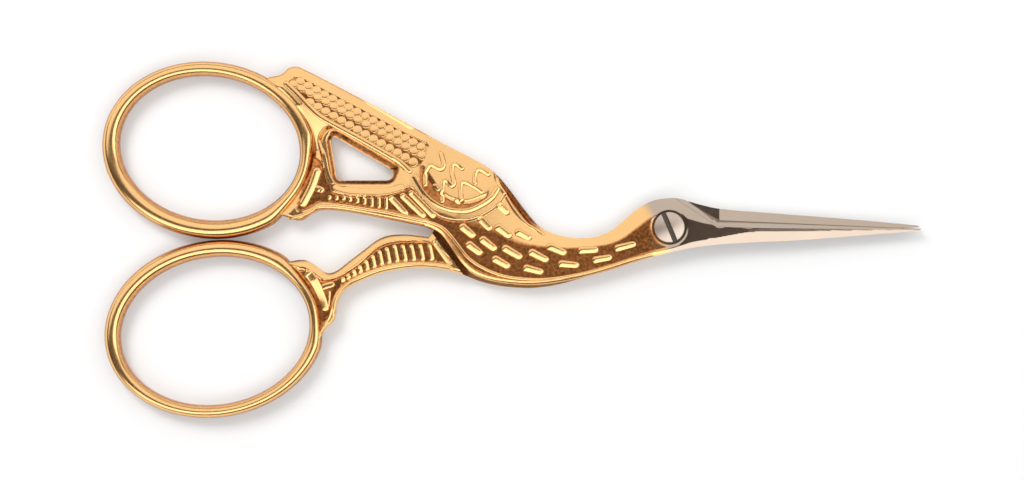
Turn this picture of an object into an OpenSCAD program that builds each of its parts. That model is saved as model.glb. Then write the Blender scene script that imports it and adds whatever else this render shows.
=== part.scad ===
// Embroidery scissors in the shape of a stork, lying closed on a table.
// Two forged halves lap over each other from the bird's back to the blade tips and turn on one
// slotted screw. The stork half carries the upper ring, the wing, the body and the lower blade.
// The leg half carries the lower ring, the leg, the hidden back of the body and the upper blade.
// Origin: on the pivot axis, in the flat back that the scissors rest on. +X runs to the tips,
// +Y to the stork's side and +Z up through the screw head.

/* [Blades] */
// Distance from the pivot to the tips
blade_l = 35.4; // [30:0.1:44]
// Distance from the pivot to the heel, where the cutting edge begins
heel_l = 7.1; // [6.5:0.1:9]
// Height of the cutting edge over the pivot line at the heel
edge_rise = 1.0; // [0.6:0.05:1.4]
// Thickness left at the cutting edge
edge_t = 0.12; // [0.08:0.01:0.25]
// Slope of the facet ground down to the cutting edge, in degrees
edge_slope = 50; // [40:1:60]
// Slope of the facet ground along the blade's back, in degrees
spine_slope = 24; // [16:1:30]

/* [Halves] */
// Thickness of one half where the two lap over each other
half_t = 1.6; // [1.2:0.05:2.4]
// Running gap between the two lapped faces
slide_gap = 0.04; // [0.02:0.01:0.08]
// Gap between the end of each lap and the other half's edge
lap_gap = 0.65; // [0.4:0.05:1]

/* [Handles] */
// Distance from the pivot to the near side of the upper finger ring
shank_l = 49.25; // [46:0.05:58]
// Distance from the pivot to the near side of the lower finger ring
leg_l = 48.1; // [45:0.05:57]
// Gap left between the two rings when the scissors are closed
closed_gap = 0.1; // [0.05:0.01:0.4]
// Height of the meeting line of the rings, measured from the pivot line
meeting_y = -1.7; // [-3:0.05:0]
// How far each finger hole lies from the middle of its ring, away from the other ring
meeting_extra = 0.28; // [0:0.02:0.5]

/* [Upper ring] */
// Length of the upper finger hole
upper_hole_l = 25.3; // [21:0.1:31]
// Width of the upper finger hole
upper_hole_w = 20.1; // [17:0.1:26]
// Bar width of the upper ring at its ends
upper_bar_end = 2.5; // [1.8:0.05:3.4]
// Bar width of the upper ring at its sides
upper_bar_side = 2.35; // [1.6:0.05:3.2]
// Turn of the upper ring about its centre, in degrees
upper_tilt = -8; // [-14:0.5:0]

/* [Lower ring] */
// Length of the lower finger hole
lower_hole_l = 26.6; // [22:0.1:32]
// Width of the lower finger hole
lower_hole_w = 20.6; // [17:0.1:26]
// Bar width of the lower ring at its ends
lower_bar_end = 2.3; // [1.8:0.05:3.4]
// Bar width of the lower ring at its sides
lower_bar_side = 2.1; // [1.6:0.05:3.2]
// Turn of the lower ring about its centre, in degrees
lower_tilt = 9.5; // [0:0.5:14]

/* [Screw] */
// Diameter of the screw head
screw_head_d = 4.3; // [3.6:0.05:5]
// Clearance round the screw head in its recess
head_clear = 0.45; // [0.2:0.05:0.6]
// Thickness of the stork half left under the screw head
web_t = 0.7; // [0.5:0.05:1]
// How far the domed head stands over the stork half's face
head_stand = 0.15; // [0:0.05:0.4]
// Height of the dome on the head
dome_h = 0.3; // [0.15:0.05:0.5]
// Diameter of the smooth shoulder that the stork half turns on
shoulder_d = 2.8; // [2.4:0.05:3.4]
// Radial clearance between the shoulder and its bore
shoulder_clear = 0.05; // [0.02:0.01:0.1]
// Diameter of the threaded end
thread_d = 2.2; // [1.8:0.05:2.3]
// Radial clearance of the threaded end in the leg half
thread_clear = 0.02; // [0.01:0.01:0.05]
// How far the screw's end lies inside the back face
end_recess = 0.1; // [0:0.05:0.3]
// Width of the driver slot
slot_w = 0.7; // [0.5:0.05:1]
// Depth of the driver slot
slot_d = 0.55; // [0.3:0.05:0.7]
// Direction of the driver slot, in degrees
slot_turn = 113; // [0:1:179]

/* [Hidden] */

GOLD = [0.85, 0.62, 0.32];
STEEL = [0.74, 0.74, 0.75];

total_t = 2 * half_t + slide_gap;
front_z = half_t + slide_gap;
reach = 60;             // longer than any face that a cutter has to cross
over = 1;               // how far a cutter passes the face that it opens
curve_steps = 5;        // straight pieces between two points of a curve
round_fn = 96;
ring_steps = 72;        // sections round a finger ring
ring_sides = 12;        // points round the bar of a ring
half_side = 180 / ring_sides;
bar_squareness = 0.65;  // 1 gives a bar of oval section, less a squarer one

// Size at which the outlines below are drawn. They stretch from it to the sizes above.
drawn_blade_l = 35.4;
drawn_heel_l = 7.1;
drawn_shank_l = 49.25;
drawn_leg_l = 48.1;
drawn_upper_y = 10.81;
drawn_lower_y = -14.25;
lap_end_x = -34;        // only behind this do the handles follow the place of the rings

// Half the height and half the length that a turned oval takes up
function oval_rise(l, w, tilt) = norm([l * sin(tilt), w * cos(tilt)]) / 2;
function oval_run(l, w, tilt) = norm([l * cos(tilt), w * sin(tilt)]) / 2;

upper_outer_l = upper_hole_l + 2 * upper_bar_end;
upper_outer_w = upper_hole_w + 2 * upper_bar_side;
lower_outer_l = lower_hole_l + 2 * lower_bar_end;
lower_outer_w = lower_hole_w + 2 * lower_bar_side;

upper_ring = [-shank_l - oval_run(upper_outer_l, upper_outer_w, upper_tilt),
              meeting_y + closed_gap / 2 + oval_rise(upper_outer_l, upper_outer_w, upper_tilt)];
lower_ring = [-leg_l - oval_run(lower_outer_l, lower_outer_w, lower_tilt),
              meeting_y - closed_gap / 2 - oval_rise(lower_outer_l, lower_outer_w, lower_tilt)];
// Each bar is a little thicker where the rings meet.
upper_hole = upper_ring + [0, meeting_extra];
lower_hole = lower_ring - [0, meeting_extra];

// Smooth curve through points, leaving each along the line between its neighbours
function along(p, i) = let (d = p[min(i + 1, len(p) - 1)] - p[max(i - 1, 0)]) d / norm(d);
function smooth(p) = [
    for (i = [0 : len(p) - 2], s = [0 : curve_steps - 1])
        let (t = s / curve_steps, d = norm(p[i + 1] - p[i]))
            p[i] * (2 * t ^ 3 - 3 * t ^ 2 + 1) + along(p, i) * d * (t ^ 3 - 2 * t ^ 2 + t)
            + p[i + 1] * (3 * t ^ 2 - 2 * t ^ 3) + along(p, i + 1) * d * (t ^ 3 - t ^ 2),
    p[len(p) - 1]
];

// Stretch of a drawn point: along the blade, along the handle, and up to the ring's height.
// The lapped body, neck and head between keep their shape, so the two halves stay matched.
blade_stretch = (blade_l - heel_l) / (drawn_blade_l - drawn_heel_l);
function stretch_x(x, handle) =
    x > drawn_heel_l ? heel_l + (x - drawn_heel_l) * blade_stretch
    : x > 0 ? x * heel_l / drawn_heel_l
    : x > lap_end_x ? x
    : lap_end_x + (x - lap_end_x) * handle;
function ring_share(x) = min(1, max(0, (lap_end_x - x) / (drawn_leg_l + lap_end_x)));
function placed(points, handle, lift) = [
    for (p = points) [stretch_x(p.x, handle), p.y * (1 + (lift - 1) * ring_share(p.x))]
];
stork_stretch = (shank_l + lap_end_x) / (drawn_shank_l + lap_end_x);
leg_stretch = (leg_l + lap_end_x) / (drawn_leg_l + lap_end_x);
function stork(points) = placed(points, stork_stretch, upper_ring.y / drawn_upper_y);
function leg(points) = placed(points, leg_stretch, lower_ring.y / drawn_lower_y);

// Outline of the stork half, from the ring over the tail, wing, back, neck and head to the heel
stork_back = [
    [-57.5, 20.7], [-54.9, 21.2], [-54.1, 21.5], [-53.2, 22.3], [-52.2, 22.5], [-51, 22.05],
    [-48.6, 20.85], [-40, 16.35], [-31, 11.4], [-27, 9.35], [-24.6, 7.8], [-22.6, 5.6],
    [-19.8, 1.9], [-18, 0], [-15.8, -1], [-12.8, -1.55], [-9.7, -1.2], [-7.6, -0.15],
    [-5, 2.1], [-2.6, 3.6], [0.1, 4.1], [2.2, 3.85], [3.6, 3.05], [5.4, 1.9],
    [drawn_heel_l, edge_rise]
];
// From the tip along the blade's back and the belly to the corner of the lap
stork_front = [
    [drawn_blade_l, -0.2], [35, -0.45], [26.7, -1.15], [18.3, -1.8], [9.9, -2.2], [5, -2.6],
    [1.5, -3.2], [-2.7, -4.2], [-8.3, -6], [-13.9, -7.45], [-19, -8.1], [-23.7, -7.75],
    [-26.8, -6.9], [-28.9, -5.4], [-31.1, -2.3], [-32.3, -0.85], [-34.2, 0.1]
];
// Underside of the upper shank, from the lap to the ring
shank_under = [
    [-34.2, 0.1], [-39.8, 1.2], [-45.4, 2.2], [-48.6, 2.4], [-50, 1.9], [-51.2, 1.05],
    [-52.2, 0.95], [-54.1, 1.6], [-57, 1.7]
];

// Outline of the leg half, from the ring along the top of the leg to the lap
leg_over = [
    [-55.2, -4.9], [-53.4, -4.85], [-52, -4.6], [-50.8, -4.65], [-49.4, -5.45], [-48.2, -6.3],
    [-47.3, -6.4], [-46.3, -5.95], [-44.7, -4.7], [-42.6, -3.1], [-40.8, -1.75], [-39.2, -1.15],
    [-37, -1], [-34.9, -1.2]
];
// Hidden top edge, along the stork's back and head to the tip of the upper blade
leg_back = [
    [-24.9, 7.3], [-23, 5.4], [-20.2, 1.6], [-18.3, -0.45], [-15.9, -1.5],
    [-12.8, -2], [-9.7, -1.65], [-7.4, -0.5], [-5, 1.6], [-2.6, 3.15], [0, 3.8], [2.4, 3.7],
    [4.3, 3.2], [drawn_heel_l, 2.6], [15.5, 1.9], [23.9, 1.25], [34.9, 0.25], [35.2, 0]
];
// From the heel of the upper blade back along the belly and the underside of the leg
leg_front = [
    [drawn_heel_l, -edge_rise], [5.4, -1.75], [3.6, -2.55], [1.6, -2.95], [-2.7, -4.05],
    [-8.3, -5.9], [-12.5, -7.2], [-16, -8.1], [-19.5, -8.5], [-23.7, -8.2], [-26.5, -7.55],
    [-29.4, -6.45], [-32.1, -5.85], [-34.9, -5.65], [-37.7, -5.9], [-40.5, -6.5],
    [-43.3, -7.6], [-45, -8.5], [-46, -9.5], [-46.5, -10.7], [-46.8, -11.9], [-47.3, -13.2],
    [-48.2, -14.3], [-49.3, -15.4], [-50.1, -17.4]
];

// The laps end on two slanting lines: under the stork's back, and beside its belly.
back_lap = [[-34, -0.7], [-24.4, 10.35]];
belly_lap = [[-32.3, -0.85], [-28.9, -5.4]];

function heading(a, b) = atan2(b.y - a.y, b.x - a.x);
// Line moved to its right by a distance
function moved(line, by) =
    let (h = heading(line[0], line[1])) [for (p = line) p + by * [sin(h), -cos(h)]];

stork_lap = stork(back_lap);
leg_back_edge = moved(stork_lap, lap_gap);
leg_lap = moved(stork(belly_lap), lap_gap);
// The leg half's edge along the first line starts on top of the leg and ends under the back.
leg_corner_y = -1.35;
leg_top_y = 7.7;
function on_line(line, y) =
    line[0] + (line[1] - line[0]) * (y - line[0].y) / (line[1].y - line[0].y);
leg_corner = on_line(leg_back_edge, leg_corner_y);
leg_top = on_line(leg_back_edge, leg_top_y);

// Triangle with rounded corners, for the window between wing and shank
window_corners = [[-47.6, 13.2], [-36.2, 6.55], [-46.5, 6.55]];
window_rounds = [0.6, 0.9, 0.6];

module rounded_triangle(corners, rounds) {
    hull()
        for (i = [0 : 2]) {
            a = corners[i];
            to_next = (corners[(i + 1) % 3] - a) / norm(corners[(i + 1) % 3] - a);
            to_last = (corners[(i + 2) % 3] - a) / norm(corners[(i + 2) % 3] - a);
            half_angle = acos(to_next * to_last) / 2;
            inward = (to_next + to_last) / norm(to_next + to_last);
            translate(a + inward * rounds[i] / sin(half_angle)) circle(rounds[i], $fn = 32);
        }
}

// Points of an oval of length l and width w, turned by tilt
function oval(centre, l, w, tilt) = [
    for (k = [0 : ring_steps - 1])
        let (a = 360 * k / ring_steps, x = l / 2 * cos(a), y = w / 2 * sin(a))
            centre + [x * cos(tilt) - y * sin(tilt), x * sin(tilt) + y * cos(tilt)]
];

// Finger ring: a rounded bar swept between the oval of the hole and the outer oval
function rounded(v) = sign(v) * abs(v) ^ bar_squareness;
module finger_ring(inner, outer) {
    points = [
        for (k = [0 : ring_steps - 1], j = [0 : ring_sides - 1])
            let (a = 360 * (j + 0.5) / ring_sides,
                 middle = (inner[k] + outer[k]) / 2,
                 flat = middle + (outer[k] - inner[k]) / 2 * rounded(cos(a)) / rounded(cos(half_side)))
                [flat.x, flat.y, total_t / 2 * (1 + rounded(sin(a)) / rounded(cos(half_side)))]
    ];
    function at(k, j) = (k % ring_steps) * ring_sides + j % ring_sides;
    faces = [
        for (k = [0 : ring_steps - 1], j = [0 : ring_sides - 1])
            each [[at(k, j), at(k, j + 1), at(k + 1, j + 1)],
                  [at(k, j), at(k + 1, j + 1), at(k + 1, j)]]
    ];
    polyhedron(points, faces);
}

// Everything over a plane that holds the line from a to b at height z and climbs to its right
module cut_over(a, b, z, slope) {
    translate([a.x, a.y, z]) rotate([0, 0, heading(a, b)]) rotate([-slope, 0, 0])
        translate([-reach, -reach, 0]) cube(2 * reach);
}

// The two ground facets of a blade, drawn for the stork half. The edge facet turns at the heel
// and follows the shoulder up to the head. The back facet starts as a narrow bevel along the
// belly and then tapers the blade to its tip.
edge_line = [[heel_l, edge_rise], [blade_l, -0.1]];
shoulder_line = [[heel_l, edge_rise], stork([[2.2, 3.85]])[0]];
spine_line = stork([[-1.3, -3.5], [15.5, -0.6]]);
belly_line = stork([[-8.3, -5.6], [0.1, -3.3]]);
module facets() {
    intersection() {
        cut_over(edge_line[0], edge_line[1], front_z + edge_t, edge_slope);
        cut_over(shoulder_line[1], shoulder_line[0], front_z + edge_t, edge_slope);
    }
    intersection() {
        cut_over(spine_line[0], spine_line[1], total_t, -spine_slope);
        cut_over(belly_line[0], belly_line[1], total_t, -spine_slope);
    }
}

// Everything to the right of a line, between two heights
module cut_beside(line, z0, z1) {
    translate([line[0].x, line[0].y, z0]) rotate([0, 0, heading(line[0], line[1])])
        translate([-reach, -2 * reach, 0]) cube([3 * reach, 2 * reach, z1 - z0]);
}

module screw_recess() {
    translate([0, 0, front_z + web_t])
        cylinder(h = total_t, d = screw_head_d + 2 * head_clear, $fn = round_fn);
    cylinder(h = total_t + over, d = shoulder_d + 2 * shoulder_clear, $fn = round_fn);
}

module stork_half() {
    hole = oval(upper_hole, upper_hole_l, upper_hole_w, upper_tilt);
    rim = oval(upper_ring, upper_outer_l, upper_outer_w, upper_tilt);
    color(GOLD) union() {
        difference() {
            linear_extrude(total_t) difference() {
                polygon(concat(smooth(stork(stork_back)), smooth(stork(stork_front)),
                               smooth(stork(shank_under))));
                polygon((hole + rim) / 2);
                rounded_triangle(stork(window_corners), window_rounds);
            }
            cut_beside(stork_lap, -over, front_z);
            facets();
            screw_recess();
        }
        finger_ring(hole, rim);
    }
}

module leg_half() {
    hole = oval(lower_hole, lower_hole_l, lower_hole_w, lower_tilt);
    rim = oval(lower_ring, lower_outer_l, lower_outer_w, lower_tilt);
    color(GOLD) union() {
        difference() {
            linear_extrude(total_t) difference() {
                polygon(concat(smooth(leg(leg_over)), [leg_corner],
                               smooth(concat([leg_top], leg(leg_back))), smooth(leg(leg_front))));
                polygon((hole + rim) / 2);
            }
            cut_beside([leg_lap[1], leg_lap[0]], half_t, total_t + over);
            translate([0, 0, total_t]) rotate([180, 0, 0]) facets();
            translate([0, 0, -over])
                cylinder(h = total_t, d = thread_d + 2 * thread_clear, $fn = round_fn);
        }
        finger_ring(hole, rim);
    }
}

// Slotted screw: the threaded end is tight in the leg half, and its shoulder stands on the
// leg half's inner face, so the stork half under the head keeps its running gap.
module pivot_screw() {
    head_z = front_z + web_t + slide_gap;
    top_z = total_t + head_stand;
    head_r = screw_head_d / 2;
    dome_r = (head_r ^ 2 + dome_h ^ 2) / (2 * dome_h);
    color(STEEL) difference() {
        union() {
            translate([0, 0, end_recess]) cylinder(h = half_t - end_recess, d = thread_d, $fn = round_fn);
            translate([0, 0, half_t]) cylinder(h = head_z - half_t, d = shoulder_d, $fn = round_fn);
            intersection() {
                translate([0, 0, head_z]) cylinder(h = top_z - head_z, d = screw_head_d, $fn = round_fn);
                translate([0, 0, top_z - dome_r]) sphere(dome_r, $fn = 128);
            }
        }
        translate([0, 0, top_z - slot_d]) rotate([0, 0, slot_turn])
            translate([-screw_head_d, -slot_w / 2, 0]) cube([2 * screw_head_d, slot_w, 2 * slot_d]);
    }
}

stork_half();
leg_half();
pivot_screw();
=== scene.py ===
# Embroidery scissors in the shape of a stork, lying closed on a pale table and seen from above.
# Two forged and gold-plated halves lap over each other and turn on one slotted screw. The blades
# and the bird's head are ground bare. Lengths are in millimetres until a mesh is made.
import math

import bmesh
import bpy
import numpy as np
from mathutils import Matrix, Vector
from mathutils.geometry import delaunay_2d_cdt


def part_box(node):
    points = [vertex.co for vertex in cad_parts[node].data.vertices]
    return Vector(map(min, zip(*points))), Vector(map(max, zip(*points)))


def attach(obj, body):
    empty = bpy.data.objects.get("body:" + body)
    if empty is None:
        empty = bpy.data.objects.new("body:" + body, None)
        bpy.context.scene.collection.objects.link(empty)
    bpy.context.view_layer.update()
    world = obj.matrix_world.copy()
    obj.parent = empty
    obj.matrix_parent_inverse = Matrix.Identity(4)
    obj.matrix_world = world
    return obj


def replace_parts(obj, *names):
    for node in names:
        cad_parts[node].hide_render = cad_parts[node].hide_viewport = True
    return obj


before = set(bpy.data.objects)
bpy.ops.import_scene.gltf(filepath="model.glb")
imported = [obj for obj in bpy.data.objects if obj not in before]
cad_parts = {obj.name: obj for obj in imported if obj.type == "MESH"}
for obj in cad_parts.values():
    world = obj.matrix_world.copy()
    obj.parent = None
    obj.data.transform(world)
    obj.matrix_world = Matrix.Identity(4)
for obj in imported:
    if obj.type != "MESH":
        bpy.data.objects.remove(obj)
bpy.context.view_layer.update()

# Leg half: one steel forging with the lower finger ring, the stork's leg, the hidden back of its
# body and the upper blade. It is stamped with ribs and feathers on its outer faces, gold plated,
# and ground bare from the head to the tip.
MM = 0.001
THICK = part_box("leg_half")[1].z / MM
SLIDE_GAP = 0.04
HALF = (THICK - SLIDE_GAP) / 2
FRONT_Z = HALF + SLIDE_GAP
BLADE_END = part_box("stork_half")[1].x / MM
HEEL = 7.1              # where the cutting edges start
EDGE_RISE = 1.0         # how far an edge lies past the middle line there
TIP_PAST = 0.1          # and how far short of it at the tip
EDGE_THICK = 0.12
EDGE_SLOPE = math.radians(58)
SPINE_SLOPE = math.radians(15)
NECK_SLOPE = math.radians(12.5)
LAP_GAP = 0.65
NET = 0.15              # spacing of the points of a plate's surface
NET_ROW = 0.87          # from one even row of them to the next, in spacings
RIM_ROWS = (0.12, 0.25, 0.39, 0.54, 0.7, 0.87)      # rows that follow the rim, by their distance
EVEN_FROM = 0.99        # distance from the rim at which the even rows begin
GUIDE_CLEAR = 0.07      # no other point lies closer to a guide line
ROW_SLACK = 0.97        # a row's points may lie this share of its distance from the rim
PLATE_CREASE = 52       # an edge of a plate that turns more degrees than this is sharp
STEP_RUN = 0.02         # how far a steep step spreads sideways


def arr(points):
    return np.array(points, float)


def smooth(points, steps=5):
    """Smooth curve through points, leaving each along the line between its neighbours."""
    p = arr(points)
    way = np.gradient(p, axis=0)
    way[0], way[-1] = p[1] - p[0], p[-1] - p[-2]
    way /= np.linalg.norm(way, axis=1)[:, None]
    out = []
    for a, b, u, v in zip(p[:-1], p[1:], way[:-1], way[1:]):
        d = np.linalg.norm(b - a)
        for t in np.arange(steps) / steps:
            out.append(a * (2 * t**3 - 3 * t**2 + 1) + u * d * (t**3 - 2 * t**2 + t)
                       + b * (3 * t**2 - 2 * t**3) + v * d * (t**3 - t**2))
    return arr(out + [p[-1]])


def dense(points, step=NET, closed=False):
    """The same line with no stretch longer than step."""
    p = arr(points)
    ends = np.roll(p, -1, axis=0) if closed else p[1:]
    out = []
    for a, b in zip(p, ends):
        n = max(1, math.ceil(np.linalg.norm(b - a) / step))
        out += [a + (b - a) * k / n for k in range(n)]
    return arr(out if closed else out + [p[-1]])


def unit(v):
    return v / np.linalg.norm(v)


def distance(p, line):
    """Distance of each point from an open line, and on which side it lies: left is positive."""
    best = np.full(len(p), 1e9)
    side = np.ones(len(p))
    for a, b in zip(line[:-1], line[1:]):
        u = b - a
        w = p - a
        t = np.clip((w @ u) / max(u @ u, 1e-12), 0, 1)
        d = np.hypot(*(w - t[:, None] * u).T)
        near = d < best - 1e-9
        best = np.where(near, d, best)
        side = np.where(near, np.sign(u[0] * w[:, 1] - u[1] * w[:, 0]), side)
    return best, side


def inside(p, loop):
    """Which points lie inside a closed loop."""
    hit = np.zeros(len(p), bool)
    for a, b in zip(loop, np.roll(loop, -1, axis=0)):
        if a[1] != b[1]:
            crosses = (a[1] > p[:, 1]) != (b[1] > p[:, 1])
            hit ^= crosses & (p[:, 0] < (b[0] - a[0]) * (p[:, 1] - a[1]) / (b[1] - a[1]) + a[0])
    return hit


def between(p, outline, holes):
    """Which points lie inside an outline and outside its holes."""
    hit = inside(p, outline)
    for h in holes:
        hit &= ~inside(p, h)
    return hit


def depth_in(p, loop):
    """How far each point lies inside a closed loop, less than nought outside."""
    d = distance(p, np.vstack([loop, loop[:1]]))[0]
    return np.where(inside(p, loop), d, -d)


def ramp(v, a, b):
    """Soft step from 0 at a to 1 at b."""
    t = np.clip((v - a) / (b - a), 0, 1)
    return t * t * (3 - 2 * t)


def until(v, span):
    """Soft step from 1 at the start of a span to 0 at its end."""
    return 1 - ramp(v, *span)


def falling(d, deep, wide, power=1):
    """Depth at a distance d from an edge: deep at the edge itself, nothing from wide on."""
    return deep * np.clip(1 - d / wide, 0, 1) ** power


def beside(p, a, b):
    """Distance of each point to the right of the line from a to b."""
    u = unit(arr(b) - arr(a))
    w = p - arr(a)
    return w[:, 0] * u[1] - w[:, 1] * u[0]


def moved(line, by):
    """Line moved to its right."""
    a, b = arr(line)
    u = unit(b - a)
    return arr([a, b]) + by * arr([u[1], -u[0]])


def on_line(line, y):
    a, b = line
    return a + (b - a) * (y - a[1]) / (b[1] - a[1])


def oval(centre, length, width, tilt, angles):
    c, s = math.cos(math.radians(tilt)), math.sin(math.radians(tilt))
    x, y = length / 2 * np.cos(angles), width / 2 * np.sin(angles)
    return np.column_stack([centre[0] + x * c - y * s, centre[1] + x * s + y * c])


def in_oval(p, centre, length, width, tilt):
    """Angle and share of each point in an oval: a share of 1 is on it."""
    c, s = math.cos(math.radians(tilt)), math.sin(math.radians(tilt))
    w = p - arr(centre)
    x, y = (w[:, 0] * c + w[:, 1] * s) / length * 2, (w[:, 1] * c - w[:, 0] * s) / width * 2
    return np.arctan2(y, x), np.hypot(x, y)


def closed_on_ring(chain, ring):
    """Outline of a half that starts and ends on the middle line of its ring's bar."""
    angle, share = in_oval(chain, *ring)
    kept = chain[share > 1]
    angle = angle[share > 1]
    arc = oval(*ring, np.linspace(angle[-1], angle[0], 120))
    return np.vstack([kept, arc])


def placed(name, mesh):
    obj = bpy.data.objects.new(name, mesh)
    bpy.context.scene.collection.objects.link(obj)
    return obj


def new_mesh(name, verts, edges, faces, **attributes):
    """Mesh from points in millimetres. An attribute gives each point a value or a vector."""
    mesh = bpy.data.meshes.new(name)
    mesh.from_pydata((arr(verts) * MM).tolist(), edges, faces)
    for key, values in attributes.items():
        kind, field = ("FLOAT", "value") if values.ndim == 1 else ("FLOAT_VECTOR", "vector")
        made = mesh.attributes.new(key, kind, "POINT")
        made.data.foreach_set(field, values.astype(np.float32).ravel())
    return mesh


def evaluated(obj):
    """Plain mesh of an object with its modifiers applied."""
    view = bpy.context.evaluated_depsgraph_get()
    return bpy.data.meshes.new_from_object(obj.evaluated_get(view))


def mesh_object(name, verts, faces, material, crease=None, **attributes):
    """Object at the origin. Its edges are sharp where they turn by more degrees than crease."""
    mesh = new_mesh(name, verts, [], faces, **attributes)
    mesh.shade_smooth()
    if crease:
        mesh.set_sharp_from_angle(angle=math.radians(crease))
    mesh.materials.append(material)
    return placed(name, mesh)


def plate(name, outline, holes, guides, heights, material):
    """Closed plate: a net of triangles over an outline. heights gives top, underside and patinas with
    painted shade.
    """
    loops = [dense(l, NET, True) for l in [outline] + holes]
    lines = [dense(g) for g in guides]
    rim = [np.vstack([l, l[:1]]) for l in loops]
    fixed = np.vstack(loops + lines)
    rows = []
    for k, l in enumerate(loops):
        way = np.roll(l, -1, axis=0) - np.roll(l, 1, axis=0)
        out = np.column_stack([way[:, 1], -way[:, 0]]) / np.linalg.norm(way, axis=1)[:, None]
        area = np.sum(l[:, 0] * np.roll(l[:, 1], -1) - l[:, 1] * np.roll(l[:, 0], -1))
        inward = out * (-1 if area > 0 else 1) * (1 if k == 0 else -1)
        rows += [(l + inward * d, d) for d in RIM_ROWS]
    low, high = outline.min(0), outline.max(0)
    xs = np.arange(low[0], high[0], NET)
    ys = np.arange(low[1], high[1], NET * NET_ROW)
    grid = np.vstack([np.column_stack([xs + (j % 2) * NET / 2, np.full(len(xs), y)])
                      for j, y in enumerate(ys)])
    points = []
    for p, least in rows + [(grid, EVEN_FROM)]:
        p = p[between(p, outline, loops[1:])]
        p = p[np.min([distance(p, r)[0] for r in rim], axis=0) > least * ROW_SLACK]
        for g in lines:
            p = p[distance(p, g)[0] > GUIDE_CLEAR]
        points.append(p)
    edges, start = [], 0
    for l, is_open in [(l, 0) for l in loops] + [(g, 1) for g in lines]:
        n = len(l)
        edges += [(start + i, start + (i + 1) % n) for i in range(n - is_open)]
        start += n
    cloud = np.vstack([fixed] + points)
    got = delaunay_2d_cdt([Vector(p) for p in cloud], edges, [], 0, 1e-5)
    xy = arr([tuple(v) for v in got[0]])
    tri = np.array(got[2])
    keep = between(xy[tri].mean(1), loops[0], loops[1:])
    a, b, c = (xy[tri[:, k]] for k in range(3))
    turn = (b - a)[:, 0] * (c - a)[:, 1] - (b - a)[:, 1] * (c - a)[:, 0]
    keep &= np.abs(turn) > 1e-9
    tri = np.where((turn > 0)[:, None], tri, tri[:, ::-1])[keep]
    used = np.unique(tri)
    number = np.full(len(xy), -1)
    number[used] = np.arange(len(used))
    xy, tri = xy[used], number[tri]
    n = len(xy)
    sides = np.vstack([tri[:, [0, 1]], tri[:, [1, 2]], tri[:, [2, 0]]])
    codes = set(map(tuple, sides.tolist()))
    walls = [(i + n, j + n, j, i) for i, j in codes if (j, i) not in codes]
    top, under, tone = heights(xy)
    verts = np.vstack([np.column_stack([xy, top]), np.column_stack([xy, under])])
    faces = tri.tolist() + (tri[:, ::-1] + n).tolist() + walls
    return mesh_object(name, verts, faces, material, PLATE_CREASE, patina=np.concatenate(tone))


# The plating is a warm reddish gold, browner in the recesses, where the stamping left it dull and
# painted shade darkens it further, and it ends softly on the head, where the blades were ground after
# plating.
GOLD = (0.93, 0.57, 0.24, 1)
RECESS_GOLD_AND_SHADE = (0.52, 0.20, 0.06, 1)
DEEP_SHADE = 0.3        # painted shade: how dark the deepest pits are beside the other recesses
STEEL = (0.50, 0.41, 0.33, 1)
STEEL_ROUGH = (0.09, 0.17)
GOLD_ROUGH = (0.13, 0.24)
DULL_ROUGH = 0.05       # added in the recesses
RUB = (0.94, 1.06)      # how much darker or lighter the blotches are
SPECK = (0.6, 1.4)      # and the grain of the recesses
PLATING_END = -1.9      # middle of the change from gold to steel
PLATING_FADE = 1.9
PLATING_WANDER = 1.6    # how far that change strays
PLATING_TILT = 0.5
SCRATCH_DEPTH, SCRATCH_STRENGTH = 0.02, 0.06
SCRATCH_TURN = 0.5      # radians from the length of the scissors
GRAIN_RANGE = (0.3, 0.7)
# how dark the painted shade in the screw's slot is
SLOT_SHADE_DARK = 0.22


def node(tree, kind, inputs=None, **settings):
    """New node with its settings and inputs. An input is a value or another node's output."""
    made = tree.nodes.new(kind)
    for key, value in settings.items():
        setattr(made, key, value)
    for key, value in (inputs or {}).items():
        if isinstance(value, bpy.types.NodeSocket):
            tree.links.new(value, made.inputs[key])
        else:
            made.inputs[key].default_value = value
    return made


def shade(tree, kind, inputs, **settings):
    """First output of a new shader node."""
    return node(tree, "ShaderNode" + kind, inputs, **settings).outputs[0]


def geo(tree, kind, inputs, **settings):
    """First output of a new geometry node."""
    return node(tree, "GeometryNode" + kind, inputs, **settings).outputs[0]


def calc(tree, operation, a, b=0.0, c=0.0):
    return shade(tree, "Math", {0: a, 1: b, 2: c}, operation=operation)


def times(tree, a, b):
    return calc(tree, "MULTIPLY", a, b)


def remap(tree, value, start=0.0, end=1.0, low=0.0, high=1.0, kind="LINEAR"):
    """Value taken from the range start to end to the range low to high."""
    return shade(tree, "MapRange", {0: value, 1: start, 2: end, 3: low, 4: high},
                 interpolation_type=kind)


def scaled(tree, vector, by):
    return shade(tree, "VectorMath", {0: vector, "Scale": by}, operation="SCALE")


def blended(tree, share, a, b, kind="RGBA"):
    """Change from a to b by share."""
    mix = node(tree, "ShaderNodeMix", {"Factor": share, "A": a, "B": b}, data_type=kind)
    return mix.outputs["Result"]


def parts(tree, vector):
    """X, Y and Z of a vector."""
    return node(tree, "ShaderNodeSeparateXYZ", {0: vector}).outputs


def on_object(tree):
    return node(tree, "ShaderNodeTexCoord").outputs["Object"]


def new_group(name, kind, inputs, outputs):
    """Empty node group, its inputs and its output node. An input comes with its default, or with
    the type of its socket."""
    tree = bpy.data.node_groups.new(name, kind)
    types = {float: "NodeSocketFloat", int: "NodeSocketInt", tuple: "NodeSocketVector"}
    for title, value in inputs.items():
        socket = types.get(type(value), value)
        made = tree.interface.new_socket(title, in_out="INPUT", socket_type=socket)
        if socket != value:
            made.default_value = value
    for title, socket in outputs.items():
        tree.interface.new_socket(title, in_out="OUTPUT", socket_type=socket)
    return tree, tree.nodes.new("NodeGroupInput").outputs, tree.nodes.new("NodeGroupOutput")


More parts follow.
